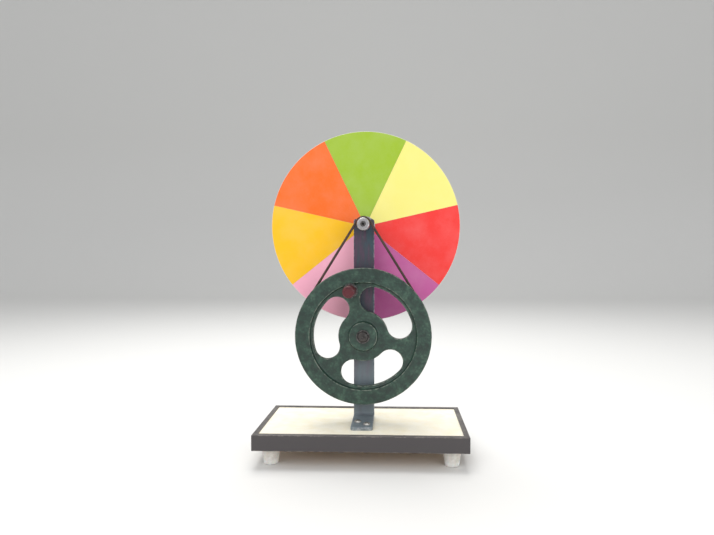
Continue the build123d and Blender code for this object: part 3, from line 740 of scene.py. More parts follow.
# ---- Finishes ----
class Finish(Bench):
    """One material, whose principled shader is fed by its nodes."""

    def __init__(self, name, **settings):
        self.material = bpy.data.materials.new("finish_" + name)
        self.material.use_nodes = True
        super().__init__(self.material.node_tree)
        self.shader = self.tree.nodes["Principled BSDF"].inputs
        for label, value in settings.items():
            self.shader[label.replace("_", " ")].default_value = value

    def effect(self, name, **values):
        node = self.add("Group", node_tree=bpy.data.node_groups[name])
        for label, value in values.items():
            self.feed(node.inputs[label], value)
        return node.outputs

    def done(self, colour, roughness, height=None, depth=0.0):
        """Feeds the shader; a height gives relief to a depth in millimetres."""
        self.feed(self.shader["Base Color"], colour)
        self.feed(self.shader["Roughness"], roughness)
        if height is not None:
            bump = self.add("Bump", {"Height": height, "Distance": depth * MM})
            self.feed(self.shader["Normal"], bump.outputs[0])


def plywood_finish(sizes):
    """Plywood, its grain along the board."""
    finish = Finish("plywood", Specular_IOR_Level=0.3)
    grain = finish.noise(finish.millimetres((0.035, 0.55, 0.55)), 1.0, 5.0, 0.6)
    pores = finish.noise(finish.millimetres((0.2, 3.0, 3.0)), 1.0)
    share = finish.spread(finish.overlaid(grain, pores, 0.25), 0.5, 0.85)
    finish.done(finish.mix(share, sizes.plywood, sizes.plywood_grain),
                finish.spread(grain, 0.3, 0.7, 0.55, 0.75), pores, 0.05)


def bar_finish(sizes):
    """Blue-grey paint on steel, streaked along the bar, painted paler low down for light bounced up from the
    laminate, and rubbed on its edges.
    """
    finish = Finish("upright_paint", Coat_Weight=0.25, Coat_Roughness=0.3)
    streaks = finish.noise(finish.millimetres((0.16, 0.16, 0.025)), 1.0, 4.0, 0.6)
    peel = finish.noise(finish.millimetres(), 1.1)
    colour = finish.mix(finish.spread(streaks, 0.4, 0.48), sizes.paint_cool, sizes.paint)
    colour = finish.mix(finish.spread(streaks, 0.5, 0.6), colour, sizes.paint_warm)
    # Painted light: below a height the paint is mixed towards a paler colour, in patches, to stand in for
    # light bounced up from the laminate onto the low bar.
    height = finish.add("SeparateXYZ", {0: finish.millimetres()}).outputs[2]
    bounce_light_mask = finish.spread(height, sizes.bounce_light_from / MM, sizes.bounce_light_to / MM)
    patchy_bounce_light = finish.times(bounce_light_mask, finish.spread(streaks, 0.3, 0.7, 1.0, 0.7))
    colour = finish.mix(patchy_bounce_light, colour, sizes.paint_bounce_lit)
    worn = finish.effect("edge_wear", Finish=colour, Under=sizes.paint_worn, Amount=0.8, Breaks=0.3)
    finish.feed(finish.shader["Metallic"], finish.times(worn["Mask"], 0.8))
    finish.done(worn["Color"], finish.spread(peel, 0.3, 0.7, 0.36, 0.52), peel, 0.05)


def wheel_finish(sizes):
    """Green hammered paint on a casting, rubbed on the rim's corners."""
    finish = Finish("wheel_paint", Coat_Weight=0.2, Coat_Roughness=0.28)
    paint = finish.effect("hammered_paint", Paint=sizes.paint, Pale=sizes.paint_pale, Deep=sizes.paint_deep,
                          Dimples=0.45, Patches=0.13)
    worn = finish.effect("edge_wear", Finish=paint["Color"], Under=sizes.paint_worn, Amount=0.6, Breaks=0.3)
    finish.done(worn["Color"], paint["Roughness"], paint["Height"], 0.12)


def moulded_finish(name, base, cloud, grain, smooth, rough, depth, worn=None, dust=None, **settings):
    """Plastic, rubber or laminate; worn and dust hold the values of those effects, where it has them."""
    finish = Finish(name, **settings)
    skin = finish.effect("moulded_skin", Base=base, Cloud=cloud, Grain=grain, Smooth=smooth, Rough=rough)
    colour = skin["Color"]
    for effect, values in (("edge_wear", worn), ("settled_dust", dust)):
        if values:
            colour = finish.effect(effect, Finish=colour, **values)["Color"]
    finish.done(colour, skin["Roughness"], skin["Height"], depth)


def metal_finish(name, metal, dark, smooth, rough, rings=4.0, wear=0.25):
    """A turned or plated metal."""
    finish = Finish(name, Metallic=1.0)
    turned = finish.effect("turned_metal", Metal=metal, Dark=dark, Rings=rings, Smooth=smooth, Rough=rough)
    worn = finish.effect("edge_wear", Finish=turned["Color"], Under=WHITE, Amount=wear, Breaks=0.6)
    finish.done(worn["Color"], turned["Roughness"], turned["Height"], 0.012)


def sheet_finish(name, ink, fibres, depth, **settings):
    """The plain board of the disc, or one colour of printed card."""
    finish = Finish(name, **settings)
    sheet = finish.effect("printed_sheet", Ink=ink, Card=WHITE, Fibres=fibres)
    finish.done(sheet["Color"], sheet["Roughness"], sheet["Height"], depth)


def make_finishes():
    """Builds each shared effect once, then one material for each slot of the record."""
    for make_effect in (make_hammered_paint, make_turned_metal, make_moulded_skin, make_edge_wear,
                        make_settled_dust, make_printed_sheet):
        make_effect()
    base, upright, wheel = groups("base", "upright", "wheel")
    crank, spindle, disc, hardware = groups("crank", "spindle", "disc", "hardware")
    plywood_finish(base)
    bar_finish(upright)
    wheel_finish(wheel)
    moulded_finish("cream_laminate", base.laminate, base.laminate_tone, 1.2, 0.34, 0.48, 0.012,
                   dust={"Dust": base.dust, "Amount": 0.12}, Coat_Weight=0.15, Coat_Roughness=0.25)
    moulded_finish("dark_edging", base.edging, base.edging, 1.6, 0.42, 0.58, 0.03,
                   worn={"Under": base.edging_worn, "Amount": 0.55, "Breaks": 0.25},
                   dust={"Dust": base.dust, "Amount": 0.25})
    moulded_finish("foot_rubber", base.foot_rubber, base.dust, 2.2, 0.5, 0.7, 0.04,
                   Subsurface_Weight=0.15, Subsurface_Scale=2.0 * MM)
    moulded_finish("grip_plastic", crank.grip, crank.grip_dark, 1.5, 0.28, 0.4, 0.02,
                   Coat_Weight=0.25, Coat_Roughness=0.2)
    moulded_finish("belt_rubber", spindle.belt, spindle.belt_dull, 2.5, 0.45, 0.65, 0.05)
    metal_finish("zinc_steel", hardware.zinc, hardware.zinc_dark, 0.26, 0.44, 2.0)
    metal_finish("axle_steel", hardware.steel, hardware.steel_dark, 0.34, 0.52, wear=0.08)
    metal_finish("brass", hardware.brass, hardware.brass_dark, 0.22, 0.4)
    metal_finish("pulley_aluminium", spindle.aluminium, spindle.aluminium_dark, 0.26, 0.4)
    sheet_finish("disc_board", disc.board, 1.2, 0.04)
    for name in SECTOR_NAMES:
        sheet_finish("paper_" + name, getattr(disc, name), 2.0, 0.015, Specular_IOR_Level=0.2)


def finish_of(slot):
    """The material of one of the record's slots."""
    made = bpy.data.materials.get("finish_" + slot)
    if made is None:
        raise RuntimeError(f"the finish {slot} isn't made yet: run the finishes first")
    return made


# ---- Parts that several pieces share ----
ROWS_PER_TURN = 6
THREAD_FLAT = 0.15  # what a sharp thread loses at its crest and at its root, beside the depth it keeps
THREAD_LEAD = 0.4  # how deep the last turn still is at the tip
FINE_THREAD = 0.8  # depth of the crank pin's and the spindle's threads beside the others
NUT_FACE = 0.96  # the flat part of a nut's face, as a share of its width
NUT_BEVEL = math.radians(30)
NUT_STEPS = 7


def threaded(radius, start, end, pitch):
    """Rows of (radius, y) along a thread, close enough to show its turns."""
    rows = max(ROWS_PER_TURN, math.ceil((end - start) / pitch * ROWS_PER_TURN))
    return [(radius, start + (end - start) * row / rows) for row in range(rows + 1)]


def thread_relief(radius, start, end, pitch, depth):
    """How deep a thread is cut at a point of a shaft; it fades over one pitch at each end."""
    def relief(here, y, turn):
        if abs(here - radius) > ON_AXIS or not start <= y <= end:
            return 0.0
        phase = (y / pitch - turn / math.tau) % 1.0
        tooth = min(1.0, max(0.0, abs(2 * phase - 1) * (1 + 2 * THREAD_FLAT) - THREAD_FLAT))
        fade = min(1.0, (y - start) / pitch, (end - y) / pitch + THREAD_LEAD)
        return depth * tooth * fade
    return relief


def shaft_solid(name, outline, radius, start, high, tip, centre, depth_share=1.0, bore=0.0):
    """A turned shaft that goes on from its outline as a machine thread and ends in a bevelled tip."""
    hardware = bpy.context.scene.newton_hardware
    end = high - tip
    outline = outline + threaded(radius, start, end, hardware.pitch) + [(radius - tip, high), (bore, high)]
    relief = thread_relief(radius, start, end, hardware.pitch, hardware.thread_depth * depth_share)
    return Shape().turned(outline, loop=bore > 0, relief=relief).solid(name, centre)


def ring_solid(name, node, inner, outer, edge, centre):
    """A washer or spacer in its node's place, its front edge rolled more than its back one."""
    low, high, bore_edge = *span(node), edge / 3
    return bored_solid(name, [(inner, low, bore_edge), (outer, low, edge), (outer, high, edge / 2),
                              (inner, high, bore_edge)], centre)


def nut_solid(name, node, hole, edge, centre):
    """A hexagon nut in its node's place: flats, corners turned down at both faces, a bored hole."""
    low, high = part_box(node)
    flats, flare = (high.z - low.z) / 2, 0.4 * MM
    hexagon = [(x, z, edge) for x, z in circle(flats / math.cos(math.pi / 6), 6)]
    section = spaced(rounded(hexagon, closed=True), flats / NUT_STEPS)
    face = flats * NUT_FACE

    def ring(radius, y):
        return [(radius * x / math.hypot(x, z), y, radius * z / math.hypot(x, z)) for x, z in section]

    def side(end, inward):
        slope = inward * math.tan(NUT_BEVEL)
        return [(x, end + max(0.0, math.hypot(x, z) - face) * slope, z) for x, z in section]

    nut = Shape()
    rows = [ring(hole, low.y + flare), ring(hole + flare, low.y), ring(face, low.y), side(low.y, 1),
            side(high.y, -1), ring(face, high.y), ring(hole + flare, high.y), ring(hole, high.y - flare)]
    nut.skin([nut.row(row) for row in rows], loop=True)
    return nut.solid(name, centre)


def set_screw_solid(name, node):
    """A headless screw that stands on the spindle, slotted at its outer end."""
    low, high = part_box(node)
    radius, tall = half_width(node), high.z - low.z
    edge, slot = mm(0.2, 0.5)
    outline = rounded([(0, 0, 0), (radius, 0, edge), (radius, tall, edge), (0, tall, 0)])
    place = (middle(node).x, middle(node).y, low.z)
    screw = Shape().turned(outline, SCREW_STEPS).solid(name, place, Y_TO_UP)
    return slotted(screw, radius, radius, slot, tall)


def wood_screw_solid(name, head, reach, centre, rotation, turn):
    """A domed, slotted wood screw with its seat at the centre and its point along its own +Y."""
    hardware = bpy.context.scene.newton_hardware
    radius, dome, pitch = hardware.screw_diameter / 2, hardware.screw_head_height, hardware.wood_pitch
    rim, tuck, past_face, root_depth, dome_steps = 0.08, 0.98, 1.02, 0.25, 12
    point_width, point_length = 0.5, 0.4
    outline = [(head * math.sin(a), -dome * (rim + (1 - rim) * math.cos(a))) for a in quarter(dome_steps)]
    outline += [(head * tuck, 0.0), (radius, 0.0)]
    tip = radius * 2
    outline += threaded(radius, radius, reach - tip, pitch)
    outline += [(radius * point_width, reach - tip * point_length), (0.0, reach)]
    relief = thread_relief(radius, radius, reach - tip, pitch, radius * root_depth)
    screw = Shape().turned(outline, SCREW_STEPS, relief=relief).solid(name, centre, rotation)
    return slotted(screw, head, dome, hardware.screw_slot, -dome * past_face, turn)


# ---- Operators ----
class NEWTON_OT_finishes(bpy.types.Operator):
    """Mixes the shared effects and one finish for each material slot"""
    bl_idname = "newton_disc.finishes"
    bl_label = "Finishes"

    def execute(self, context):
        make_finishes()
        return {"FINISHED"}


class NEWTON_OT_board(bpy.types.Operator):
    """Finishes the plywood board and the cream sheet on it"""
    bl_idname = "newton_disc.board"
    bl_label = "Board and laminate"

    def execute(self, context):
        for node, slot in (("base_board", "plywood"), ("top_laminate", "cream_laminate")):
            for place in frame["nodes"][node].material_slots:
                place.material = finish_of(slot)
        return {"FINISHED"}


class NEWTON_OT_edging(bpy.types.Operator):
    """Bends four mitred lengths of channel round the board's edge"""
    bl_idname = "newton_disc.edging"
    bl_label = "Edging"

    def execute(self, context):
        sizes = context.scene.newton_base
        low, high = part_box("edge_trim_front")
        depth, reach = -low.y, high.y - low.y
        board_low, sheet_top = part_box("base_board")[0].z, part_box("top_laminate")[1].z
        wall, edge, lip = sizes.channel_wall, sizes.channel_edge, sizes.lip_edge
        outline = rounded([
            (0, low.z, edge), (0, high.z, edge), (reach, high.z, lip), (reach, sheet_top, 0),
            (wall, sheet_top, 0), (wall, board_low, 0), (reach, board_low, 0), (reach, low.z, lip),
        ], closed=True)
        for side, turn, half, out in (("front", 0, high.x, depth), ("right", 90, depth, high.x),
                                      ("back", 180, high.x, depth), ("left", 270, depth, high.x)):
            spin = Matrix.Rotation(math.radians(turn), 3, "Z")
            ends = [[spin @ Vector((end * (half - inset - sizes.mitre_gap), inset - out, z))
                     for inset, z in outline] for end in (-1, 1)]
            channel = Shape().prism(*ends).solid("channel_" + side)
            settle(channel, "dark_edging", "stand", "edge_trim_" + side)
        return {"FINISHED"}


class NEWTON_OT_feet(bpy.types.Operator):
    """Moulds the four tapered feet, each with a recess for its screw"""
    bl_idname = "newton_disc.feet"
    bl_label = "Feet"

    def execute(self, context):
        sizes, hardware = groups("base", "hardware")
        hole, recess, bottom = hardware.screw_diameter / 2, sizes.foot_recess / 2, sizes.foot_bottom / 2
        depth, lip = sizes.foot_recess_depth, sizes.foot_lip
        for place in BOARD_CORNERS:
            node = "rubber_foot_" + place
            top, high, centre = half_width(node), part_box(node)[1].z, middle(node)
            corners = [(hole, depth, 0), (recess, depth, lip), (recess, 0, lip),
                       (bottom, 0, sizes.foot_edge), (top, high, lip), (hole, high, 0)]
            foot = bored_solid("foot_" + place, corners, (centre.x, centre.y, 0.0), rotation=Y_TO_UP)
            settle(foot, "foot_rubber", "stand", node)
        return {"FINISHED"}


class NEWTON_OT_screws(bpy.types.Operator):
    """Turns the wood screws of the feet and of the bar's foot"""
    bl_idname = "newton_disc.screws"
    bl_label = "Wood screws"

    def execute(self, context):
        base, hardware = groups("base", "hardware")
        feet = [middle("rubber_foot_" + place).xy for place in BOARD_CORNERS]
        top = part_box("foot_screws")[1]
        head, recess = top.x - feet[1].x, base.foot_recess_depth
        low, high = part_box("upright_screws")
        seat = high.z - hardware.screw_head_height
        on_bar = [(low.x + head, high.y - head), (high.x - head, low.y + head)]
        first_slot = 35
        for name, node, places, z, reach, rotation, slot_step in (
                ("foot_screw_", "foot_screws", feet, recess, top.z - recess, Y_TO_UP, 40),
                ("bar_screw_", "upright_screws", on_bar, seat, seat - low.z, Y_TO_DOWN, 65)):
            for count, (x, y) in enumerate(places):
                turn = math.radians(first_slot + slot_step * count)
                screw = wood_screw_solid(f"{name}{count + 1}", head, reach, (x, y, z), rotation, turn)
                settle(screw, "zinc_steel", "stand", node)
        return {"FINISHED"}


class NEWTON_OT_bar(bpy.types.Operator):
    """Bends the drilled flat bar to an L"""
    bl_idname = "newton_disc.bar"
    bl_label = "Upright bar"

    def execute(self, context):
        sizes, spindle, hardware = groups("upright", "spindle", "hardware")
        low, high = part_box("upright_strap")
        wide, bar_front = half_width("upright_strap"), back("axle_spacer")
        thick = high.y - bar_front
        foot_top, bend, toe = low.z + thick, sizes.bend_radius, bar_front - sizes.foot_length
        flat_end = bar_front - bend - toe
        arc_length = (bend + thick / 2) * math.pi / 2

        def along(z):
            """How far along the unbent bar a height on its upright lies."""
            return flat_end + arc_length + z - (foot_top + bend)

        def lay(across, run, depth):
            """Where a point of the unbent bar comes to lie."""
            if run <= flat_end:
                return across, toe + run, foot_top - depth
            if run >= flat_end + arc_length:
                return across, bar_front + depth, foot_top + bend + run - flat_end - arc_length
            turn = (run - flat_end) / (bend + thick / 2)
            reach = bend + depth
            return across, bar_front - bend + reach * math.sin(turn), foot_top + bend - reach * math.cos(turn)

        corner, whole = sizes.corner_radius, along(high.z)
        outline = rounded([(-wide, 0, corner), (wide, 0, corner), (wide, whole, corner),
                           (-wide, whole, corner)], closed=True)
        screws = [(ob.location.x, ob.location.y - toe) for ob in context.scene.objects
                  if ob.name.startswith("bar_screw_")]
        holes = [circle(sizes.screw_hole / 2, HOLE_STEPS, place, -1) for place in screws]
        holes += [circle(diameter / 2 + CLEAR, BORE_STEPS, (0, along(z)), -1) for diameter, z in (
            (hardware.axle_diameter, WHEEL_AXIS.z), (spindle.barrel_diameter, SPINDLE_AXIS.z))]
        bend_rows, bend_columns, spacing = 14, 4, 0.8 * MM
        seeds = [(wide * across / bend_columns, flat_end + arc_length * row / bend_rows)
                 for row in range(bend_rows + 1) for across in range(1 - bend_columns, bend_columns)]
        loops = [spaced(outline, spacing), *holes]
        bar = Shape().plate(loops, 0.0, thick, sizes.edge_radius, lay, seeds=seeds).solid("bent_bar")
        settle(bar, "upright_paint", "stand", "upright_strap")
        return {"FINISHED"}


class NEWTON_OT_bearing(bpy.types.Operator):
    """Turns the flanged bush that carries the spindle, its barrel threaded for the nut"""
    bl_idname = "newton_disc.bearing"
    bl_label = "Spindle bearing"

    def execute(self, context):
        low, high = span("spindle_bearing")
        flange, barrel = half_width("spindle_bearing"), context.scene.newton_spindle.barrel_diameter / 2
        bar_front, bore = back("axle_spacer"), SPINDLE_RADIUS + RUNNING
        bore_edge, edge = mm(0.2, 0.4)
        outline = rounded([(bore, low, bore_edge), (flange, low, edge), (flange, bar_front, 0),
                           (barrel, bar_front, 0)])
        bush = shaft_solid("bearing_bush", outline, barrel, back("upright_strap"), high, edge, SPINDLE_AXIS,
                           bore=bore)
        settle(bush, "brass", "stand", "spindle_bearing")
        return {"FINISHED"}


class NEWTON_OT_axle(bpy.types.Operator):
    """Turns the wheel's slotted axle, its thread and its spacer"""
    bl_idname = "newton_disc.axle"
    bl_label = "Wheel axle"

    def execute(self, context):
        hardware = context.scene.newton_hardware
        head, radius, tall = hardware.axle_head / 2, hardware.axle_diameter / 2, hardware.axle_head_height
        seat = front("axle_washer_front")
        low = seat - tall
        dome, seat_edge, tip = mm(1.9, 0.2, 0.6)
        slot_share, slot_turn = 0.8, math.radians(-28)
        outline = rounded([(0, low, 0), (head, low, dome), (head, seat, seat_edge), (radius, seat, 0)])
        axle = shaft_solid("axle_bolt", outline, radius, back("upright_strap"), back("wheel_axle"), tip,
                           WHEEL_AXIS)
        slotted(axle, head, tall * slot_share, hardware.slot_width, low, slot_turn)
        settle(axle, "axle_steel", "stand", "wheel_axle")
        spacer = ring_solid("axle_sleeve", "axle_spacer", radius + CLEAR, half_width("axle_spacer"),
                            hardware.washer_edge, WHEEL_AXIS)
        settle(spacer, "axle_steel", "stand", "axle_spacer")
        return {"FINISHED"}


class NEWTON_OT_washers(bpy.types.Operator):
    """Stamps the washers of the axle, crank, spindle and disc"""
    bl_idname = "newton_disc.washers"
    bl_label = "Washers"

    def execute(self, context):
        hardware, crank = groups("hardware", "crank")
        axle, pin, spindle = hardware.axle_diameter / 2, crank.pin_diameter / 2, SPINDLE_RADIUS
        head, nut, plate = hardware.head_washer / 2, half_width("axle_washer_rear"), half_width("disc_washer")
        for name, node, shaft, outer, slot, body, centre in (
                ("head_washer", "axle_washer_front", axle, head, "axle_steel", "stand", WHEEL_AXIS),
                ("nut_washer", "axle_washer_rear", axle, nut, "zinc_steel", "stand", WHEEL_AXIS),
                ("pin_washer", "crank_washer", pin, crank.pin_washer / 2, "axle_steel", "wheel", CRANK_AXIS),
                ("plate_washer", "disc_washer", spindle, plate, "zinc_steel", "spindle", SPINDLE_AXIS)):
            washer = ring_solid(name, node, shaft + CLEAR, outer, hardware.washer_edge, centre)
            settle(washer, slot, body, node)
        node = "thrust_washers"
        inner, outer = spindle + CLEAR, half_width(node)
        thin, edge = mm(0.5, 0.12)
        for name, start in (("front", front(node)), ("rear", back(node) - thin)):
            corners = mirrored([(inner, start, edge), (outer, start, edge)], start + thin / 2)
            washer = bored_solid("thrust_washer_" + name, corners, SPINDLE_AXIS)
            settle(washer, "brass", "spindle", node)
        return {"FINISHED"}


class NEWTON_OT_nuts(bpy.types.Operator):
    """Cuts the four hexagon nuts"""
    bl_idname = "newton_disc.nuts"
    bl_label = "Nuts"

    def execute(self, context):
        hardware, crank, spindle = groups("hardware", "crank", "spindle")
        for name, diameter, body, centre in (
                ("bearing", spindle.barrel_diameter, "stand", SPINDLE_AXIS),
                ("axle", hardware.axle_diameter, "stand", WHEEL_AXIS),
                ("crank", crank.pin_diameter, "wheel", CRANK_AXIS),
                ("disc", SPINDLE_RADIUS * 2, "spindle", SPINDLE_AXIS)):
            node = name + "_nut"
            nut = nut_solid(name + "_locknut", node, diameter / 2 + CLEAR, hardware.nut_edge, centre)
            settle(nut, "zinc_steel", body, node)
        return {"FINISHED"}


class NEWTON_OT_wheel(bpy.types.Operator):
    """Casts the drive wheel: grooved rim, thin web with three windows, hub and crank boss"""
    bl_idname = "newton_disc.wheel"
    bl_label = "Drive wheel"

    def execute(self, context):
        sizes, crank, hardware = groups("wheel", "crank", "hardware")
        outer, hub = half_width("drive_wheel"), sizes.hub_radius
        hub_front, hub_back = span("drive_wheel")
        rim_front, web_back = back("crank_washer"), front("crank_nut")
        web_front = 2 * BELT_PLANE - web_back
        inner, groove = outer - sizes.rim_depth, outer - sizes.groove_depth
        bore = hardware.axle_diameter / 2 + RUNNING
        bush = bore + sizes.bush_wall
        corner, fillet, draft = sizes.corner, sizes.fillet, sizes.draft
        mouth, floor = sizes.groove_mouth / 2, sizes.groove_floor / 2
        groove_edge, bush_edge, bore_edge, boss_foot = mm(0.4, 0.2, 0.3, 0.02)
        rim_root, hub_root = inner - draft, hub + draft
        rim_seam, hub_seam = rim_root - fillet, hub_root + 2 * fillet
        rim = rounded(mirrored([
            (rim_seam, web_front, 0), (rim_root, web_front, fillet), (inner, rim_front, corner),
            (outer, rim_front, corner), (outer, BELT_PLANE - mouth, groove_edge),
            (groove, BELT_PLANE - floor, groove_edge)], BELT_PLANE))
        core = rounded([
            (hub_seam, web_front, 0), (hub_root, web_front, fillet), (hub, hub_front, corner),
            (bush, hub_front, bush_edge), (bush, hub_back, bush_edge), (hub, hub_back, corner),
            (hub_root, web_back, fillet), (hub_seam, web_back, 0)])
        wheel = Shape().turned(rim, WHEEL_STEPS).turned(core, WHEEL_STEPS)
        wheel.plate(self.windows(sizes, inner), web_front, web_back, sizes.window_edge,
                    lambda x, z, y: (x, y, z), [circle(seam, WHEEL_STEPS) for seam in (rim_seam, hub_seam)],
                    [circle(hub_seam + SUPPORT, WHEEL_STEPS)])
        casting = wheel.solid("wheel_casting", WHEEL_AXIS)
        place = CRANK_AXIS - WHEEL_AXIS
        boss = inner - place.length
        foot = boss + corner
        outline = rounded([
            (0, rim_front, 0), (boss, rim_front, corner / 2), (boss, web_front, corner),
            (foot, web_front + boss_foot, 0), (foot, BELT_PLANE, 0), (0, BELT_PLANE, 0)])
        work_on(casting, Shape().turned(outline).shifted(place), "UNION")
        hole = crank.pin_diameter / 2 + CLEAR
        drill = [(0, hub_front), (hole, hub_front), (hole, hub_back), (0, hub_back)]
        work_on(casting, Shape().turned(drill, BORE_STEPS).shifted(place), "DIFFERENCE")
        settle(casting, "wheel_paint", "wheel", "drive_wheel")
        lining = bored_solid("hub_lining", [(bush, hub_front, bush_edge), (bush, hub_back, bush_edge),
                                            (bore, hub_back, bore_edge), (bore, hub_front, bore_edge)],
                             WHEEL_AXIS)
        settle(lining, "brass", "wheel", "wheel_bush")
        return {"FINISHED"}

    def windows(self, sizes, inner):
        """The kidney-shaped windows between the spokes, walked with the web on the left."""
        place, spacing = CRANK_AXIS - WHEEL_AXIS, 1.2 * MM
        near, far = sizes.window_inner, inner - sizes.window_margin
        mean, width = (far + near) / 2, far - near
        half = math.pi / 3 - math.asin((sizes.spoke_width + width) / 2 / mean)
        loops = []
        for count in range(3):
            heading = math.atan2(place.z, place.x) - math.pi / 3 + count * math.tau / 3
            start, end = heading - half, heading + half
            caps = [(mean * math.cos(a), mean * math.sin(a)) for a in (start, end)]
            loops.append([*arc((0, 0), far, end, -2 * half, spacing),
                          *arc(caps[0], width / 2, start, -math.pi, spacing),
                          *arc((0, 0), near, start, 2 * half, spacing),
                          *arc(caps[1], width / 2, end + math.pi, -math.pi, spacing)])
        return loops


class NEWTON_OT_crank(bpy.types.Operator):
    """Turns the crank pin and the capped grip that spins on it"""
    bl_idname = "newton_disc.crank"
    bl_label = "Crank pin and grip"

    def execute(self, context):
        sizes, hardware = groups("crank", "hardware")
        low, high = span("crank_pin")
        start = back("crank_nut") - 2 * hardware.pitch
        head, radius = sizes.pin_head / 2, sizes.pin_diameter / 2
        head_height, dome, seat_edge, tip, slot_depth = mm(2.0, 0.9, 0.15, 0.4, 1.6)
        seat, slot_turn = low + head_height, math.radians(55)
        outline = rounded([(0, low, 0), (head, low, dome), (head, seat, seat_edge), (radius, seat, 0)])
        pin = shaft_solid("crank_bolt", outline, radius, start, high, tip, CRANK_AXIS, FINE_THREAD)
        slotted(pin, head, slot_depth, hardware.screw_slot, low, slot_turn)
        settle(pin, "axle_steel", "wheel", "crank_pin")

        low, high, end = *span("crank_grip"), half_width("crank_grip")
        floor = low + sizes.grip_recess_depth
        bore, recess, waist = radius + RUNNING, sizes.grip_recess / 2, sizes.grip_waist / 2
        swell, neck, collar = (low + (high - low) * share for share in (0.32, 0.72, 0.9))
        recess_edge, swell_curve, neck_curve, collar_edge, rear_edge = mm(0.3, 6.0, 3.0, 1.0, 0.5)
        grip = bored_solid("grip_knob", [
            (bore, floor, 0), (recess, floor, recess_edge), (recess, low, recess_edge),
            (end, low, sizes.grip_end), (end, swell, swell_curve), (waist, neck, neck_curve),
            (end, collar, collar_edge), (end, high, rear_edge), (bore, high, 0)], CRANK_AXIS)
        settle(grip, "grip_plastic", "grip", "crank_grip")

        lid, sunk, crown = recess - RUNNING, 0.1 * MM, 0.1 * MM
        outside, rear = low + sunk, low + sunk + sizes.grip_cap
        outline = rounded([(0, outside, 0), (lid, outside + crown, crown), (lid, rear, 0), (0, rear, 0)])
        settle(Shape().turned(outline).solid("grip_cap", CRANK_AXIS), "grip_plastic", "grip", "crank_grip")
        return {"FINISHED"}


class NEWTON_OT_belt(bpy.types.Operator):
    """Lays the round belt in the groove of the wheel and of the pulley"""
    bl_idname = "newton_disc.belt"
    bl_label = "Drive belt"

    def execute(self, context):
        low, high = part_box("drive_belt")
        radius, sides, wheel_steps, pulley_steps = (high.y - low.y) / 2, 20, 150, 36
        large = half_width("drive_belt") - radius
        small = high.z - SPINDLE_AXIS.z - radius
        lean = math.asin((large - small) / (SPINDLE_AXIS.z - WHEEL_AXIS.z))
        belt = Shape()
        rows = []
        for centre, size, start, turn, steps in (
                (WHEEL_AXIS.z, large, math.pi - lean, math.pi + 2 * lean, wheel_steps),
                (SPINDLE_AXIS.z, small, lean, math.pi - 2 * lean, pulley_steps)):
            section = circle(radius, sides, (size, BELT_PLANE))
            for step in range(steps + 1):
                heading = start + turn * step / steps
                rows.append(belt.row([(reach * math.cos(heading), y, centre + reach * math.sin(heading))
                                      for reach, y in section]))
        belt.skin(rows, loop=True)
        settle(belt.solid("round_belt"), "belt_rubber", "stand", "drive_belt")
        return {"FINISHED"}


class NEWTON_OT_spindle(bpy.types.Operator):
    """Turns the spindle, the pulley, the disc's hub and their set screws"""
    bl_idname = "newton_disc.spindle"
    bl_label = "Spindle, pulley and hub"

    def execute(self, context):
        sizes = context.scene.newton_spindle
        low, start = front("disc_spindle"), back("disc_washer")
        nose, depth, edge = sizes.nose_hole / 2, sizes.nose_hole_depth, 0.4 * MM
        point_width, point_start = 0.35, 0.55
        drill_point = [(0, low + depth), (nose * point_width, low + depth * point_start)]
        outline = rounded([(nose, low, 0), (SPINDLE_RADIUS, low, edge), (SPINDLE_RADIUS, start, 0)])[:-1]
        shaft = shaft_solid("spindle_shaft", drill_point + outline, SPINDLE_RADIUS, start,
                            back("disc_spindle"), edge, SPINDLE_AXIS, FINE_THREAD)
        settle(shaft, "axle_steel", "spindle", "disc_spindle")

        low, high = span("spindle_pulley")
        bore, hole = SPINDLE_RADIUS + CLEAR, sizes.screw_hole / 2
        groove, flange, boss = sizes.pulley_groove / 2, sizes.pulley / 2, sizes.pulley_boss / 2
        mouth, floor = sizes.pulley_mouth / 2, context.scene.newton_wheel.groove_floor / 2
        flange_back = BELT_PLANE + mouth + sizes.pulley_flange
        bore_edge, front_edge, groove_edge, flange_edge, boss_edge = mm(0.25, 1.2, 0.3, 0.6, 0.4)
        pulley = bored_solid("small_pulley", [
            (bore, low, bore_edge), (flange, low, front_edge), (flange, BELT_PLANE - mouth, groove_edge),
            (groove, BELT_PLANE - floor, groove_edge), (groove, BELT_PLANE + floor, groove_edge),
            (flange, BELT_PLANE + mouth, groove_edge), (flange, flange_back, flange_edge),
            (boss, flange_back, groove_edge), (boss, high, boss_edge), (bore, high, bore_edge)], SPINDLE_AXIS)
        drilled(pulley, hole, middle("pulley_set_screw").y, boss)
        settle(pulley, "pulley_aluminium", "spindle", "spindle_pulley")

        low, high = span("disc_hub")
        boss, flange, flange_front = sizes.hub_boss / 2, half_width("disc_hub"), low + sizes.hub_boss_length
        boss_edge, fillet, seat_edge = mm(0.5, 0.6, 0.15)
        hub = bored_solid("plate_hub", [
            (bore, low, bore_edge), (boss, low, boss_edge), (boss, flange_front, fillet),
            (flange, flange_front, boss_edge), (flange, high, seat_edge), (bore, high, 0)], SPINDLE_AXIS)
        drilled(hub, hole, middle("hub_set_screw").y, boss)
        settle(hub, "pulley_aluminium", "spindle", "disc_hub")
        for name in ("pulley", "hub"):
            node = name + "_set_screw"
            settle(set_screw_solid(name + "_grub_screw", node), "zinc_steel", "spindle", node)
        return {"FINISHED"}


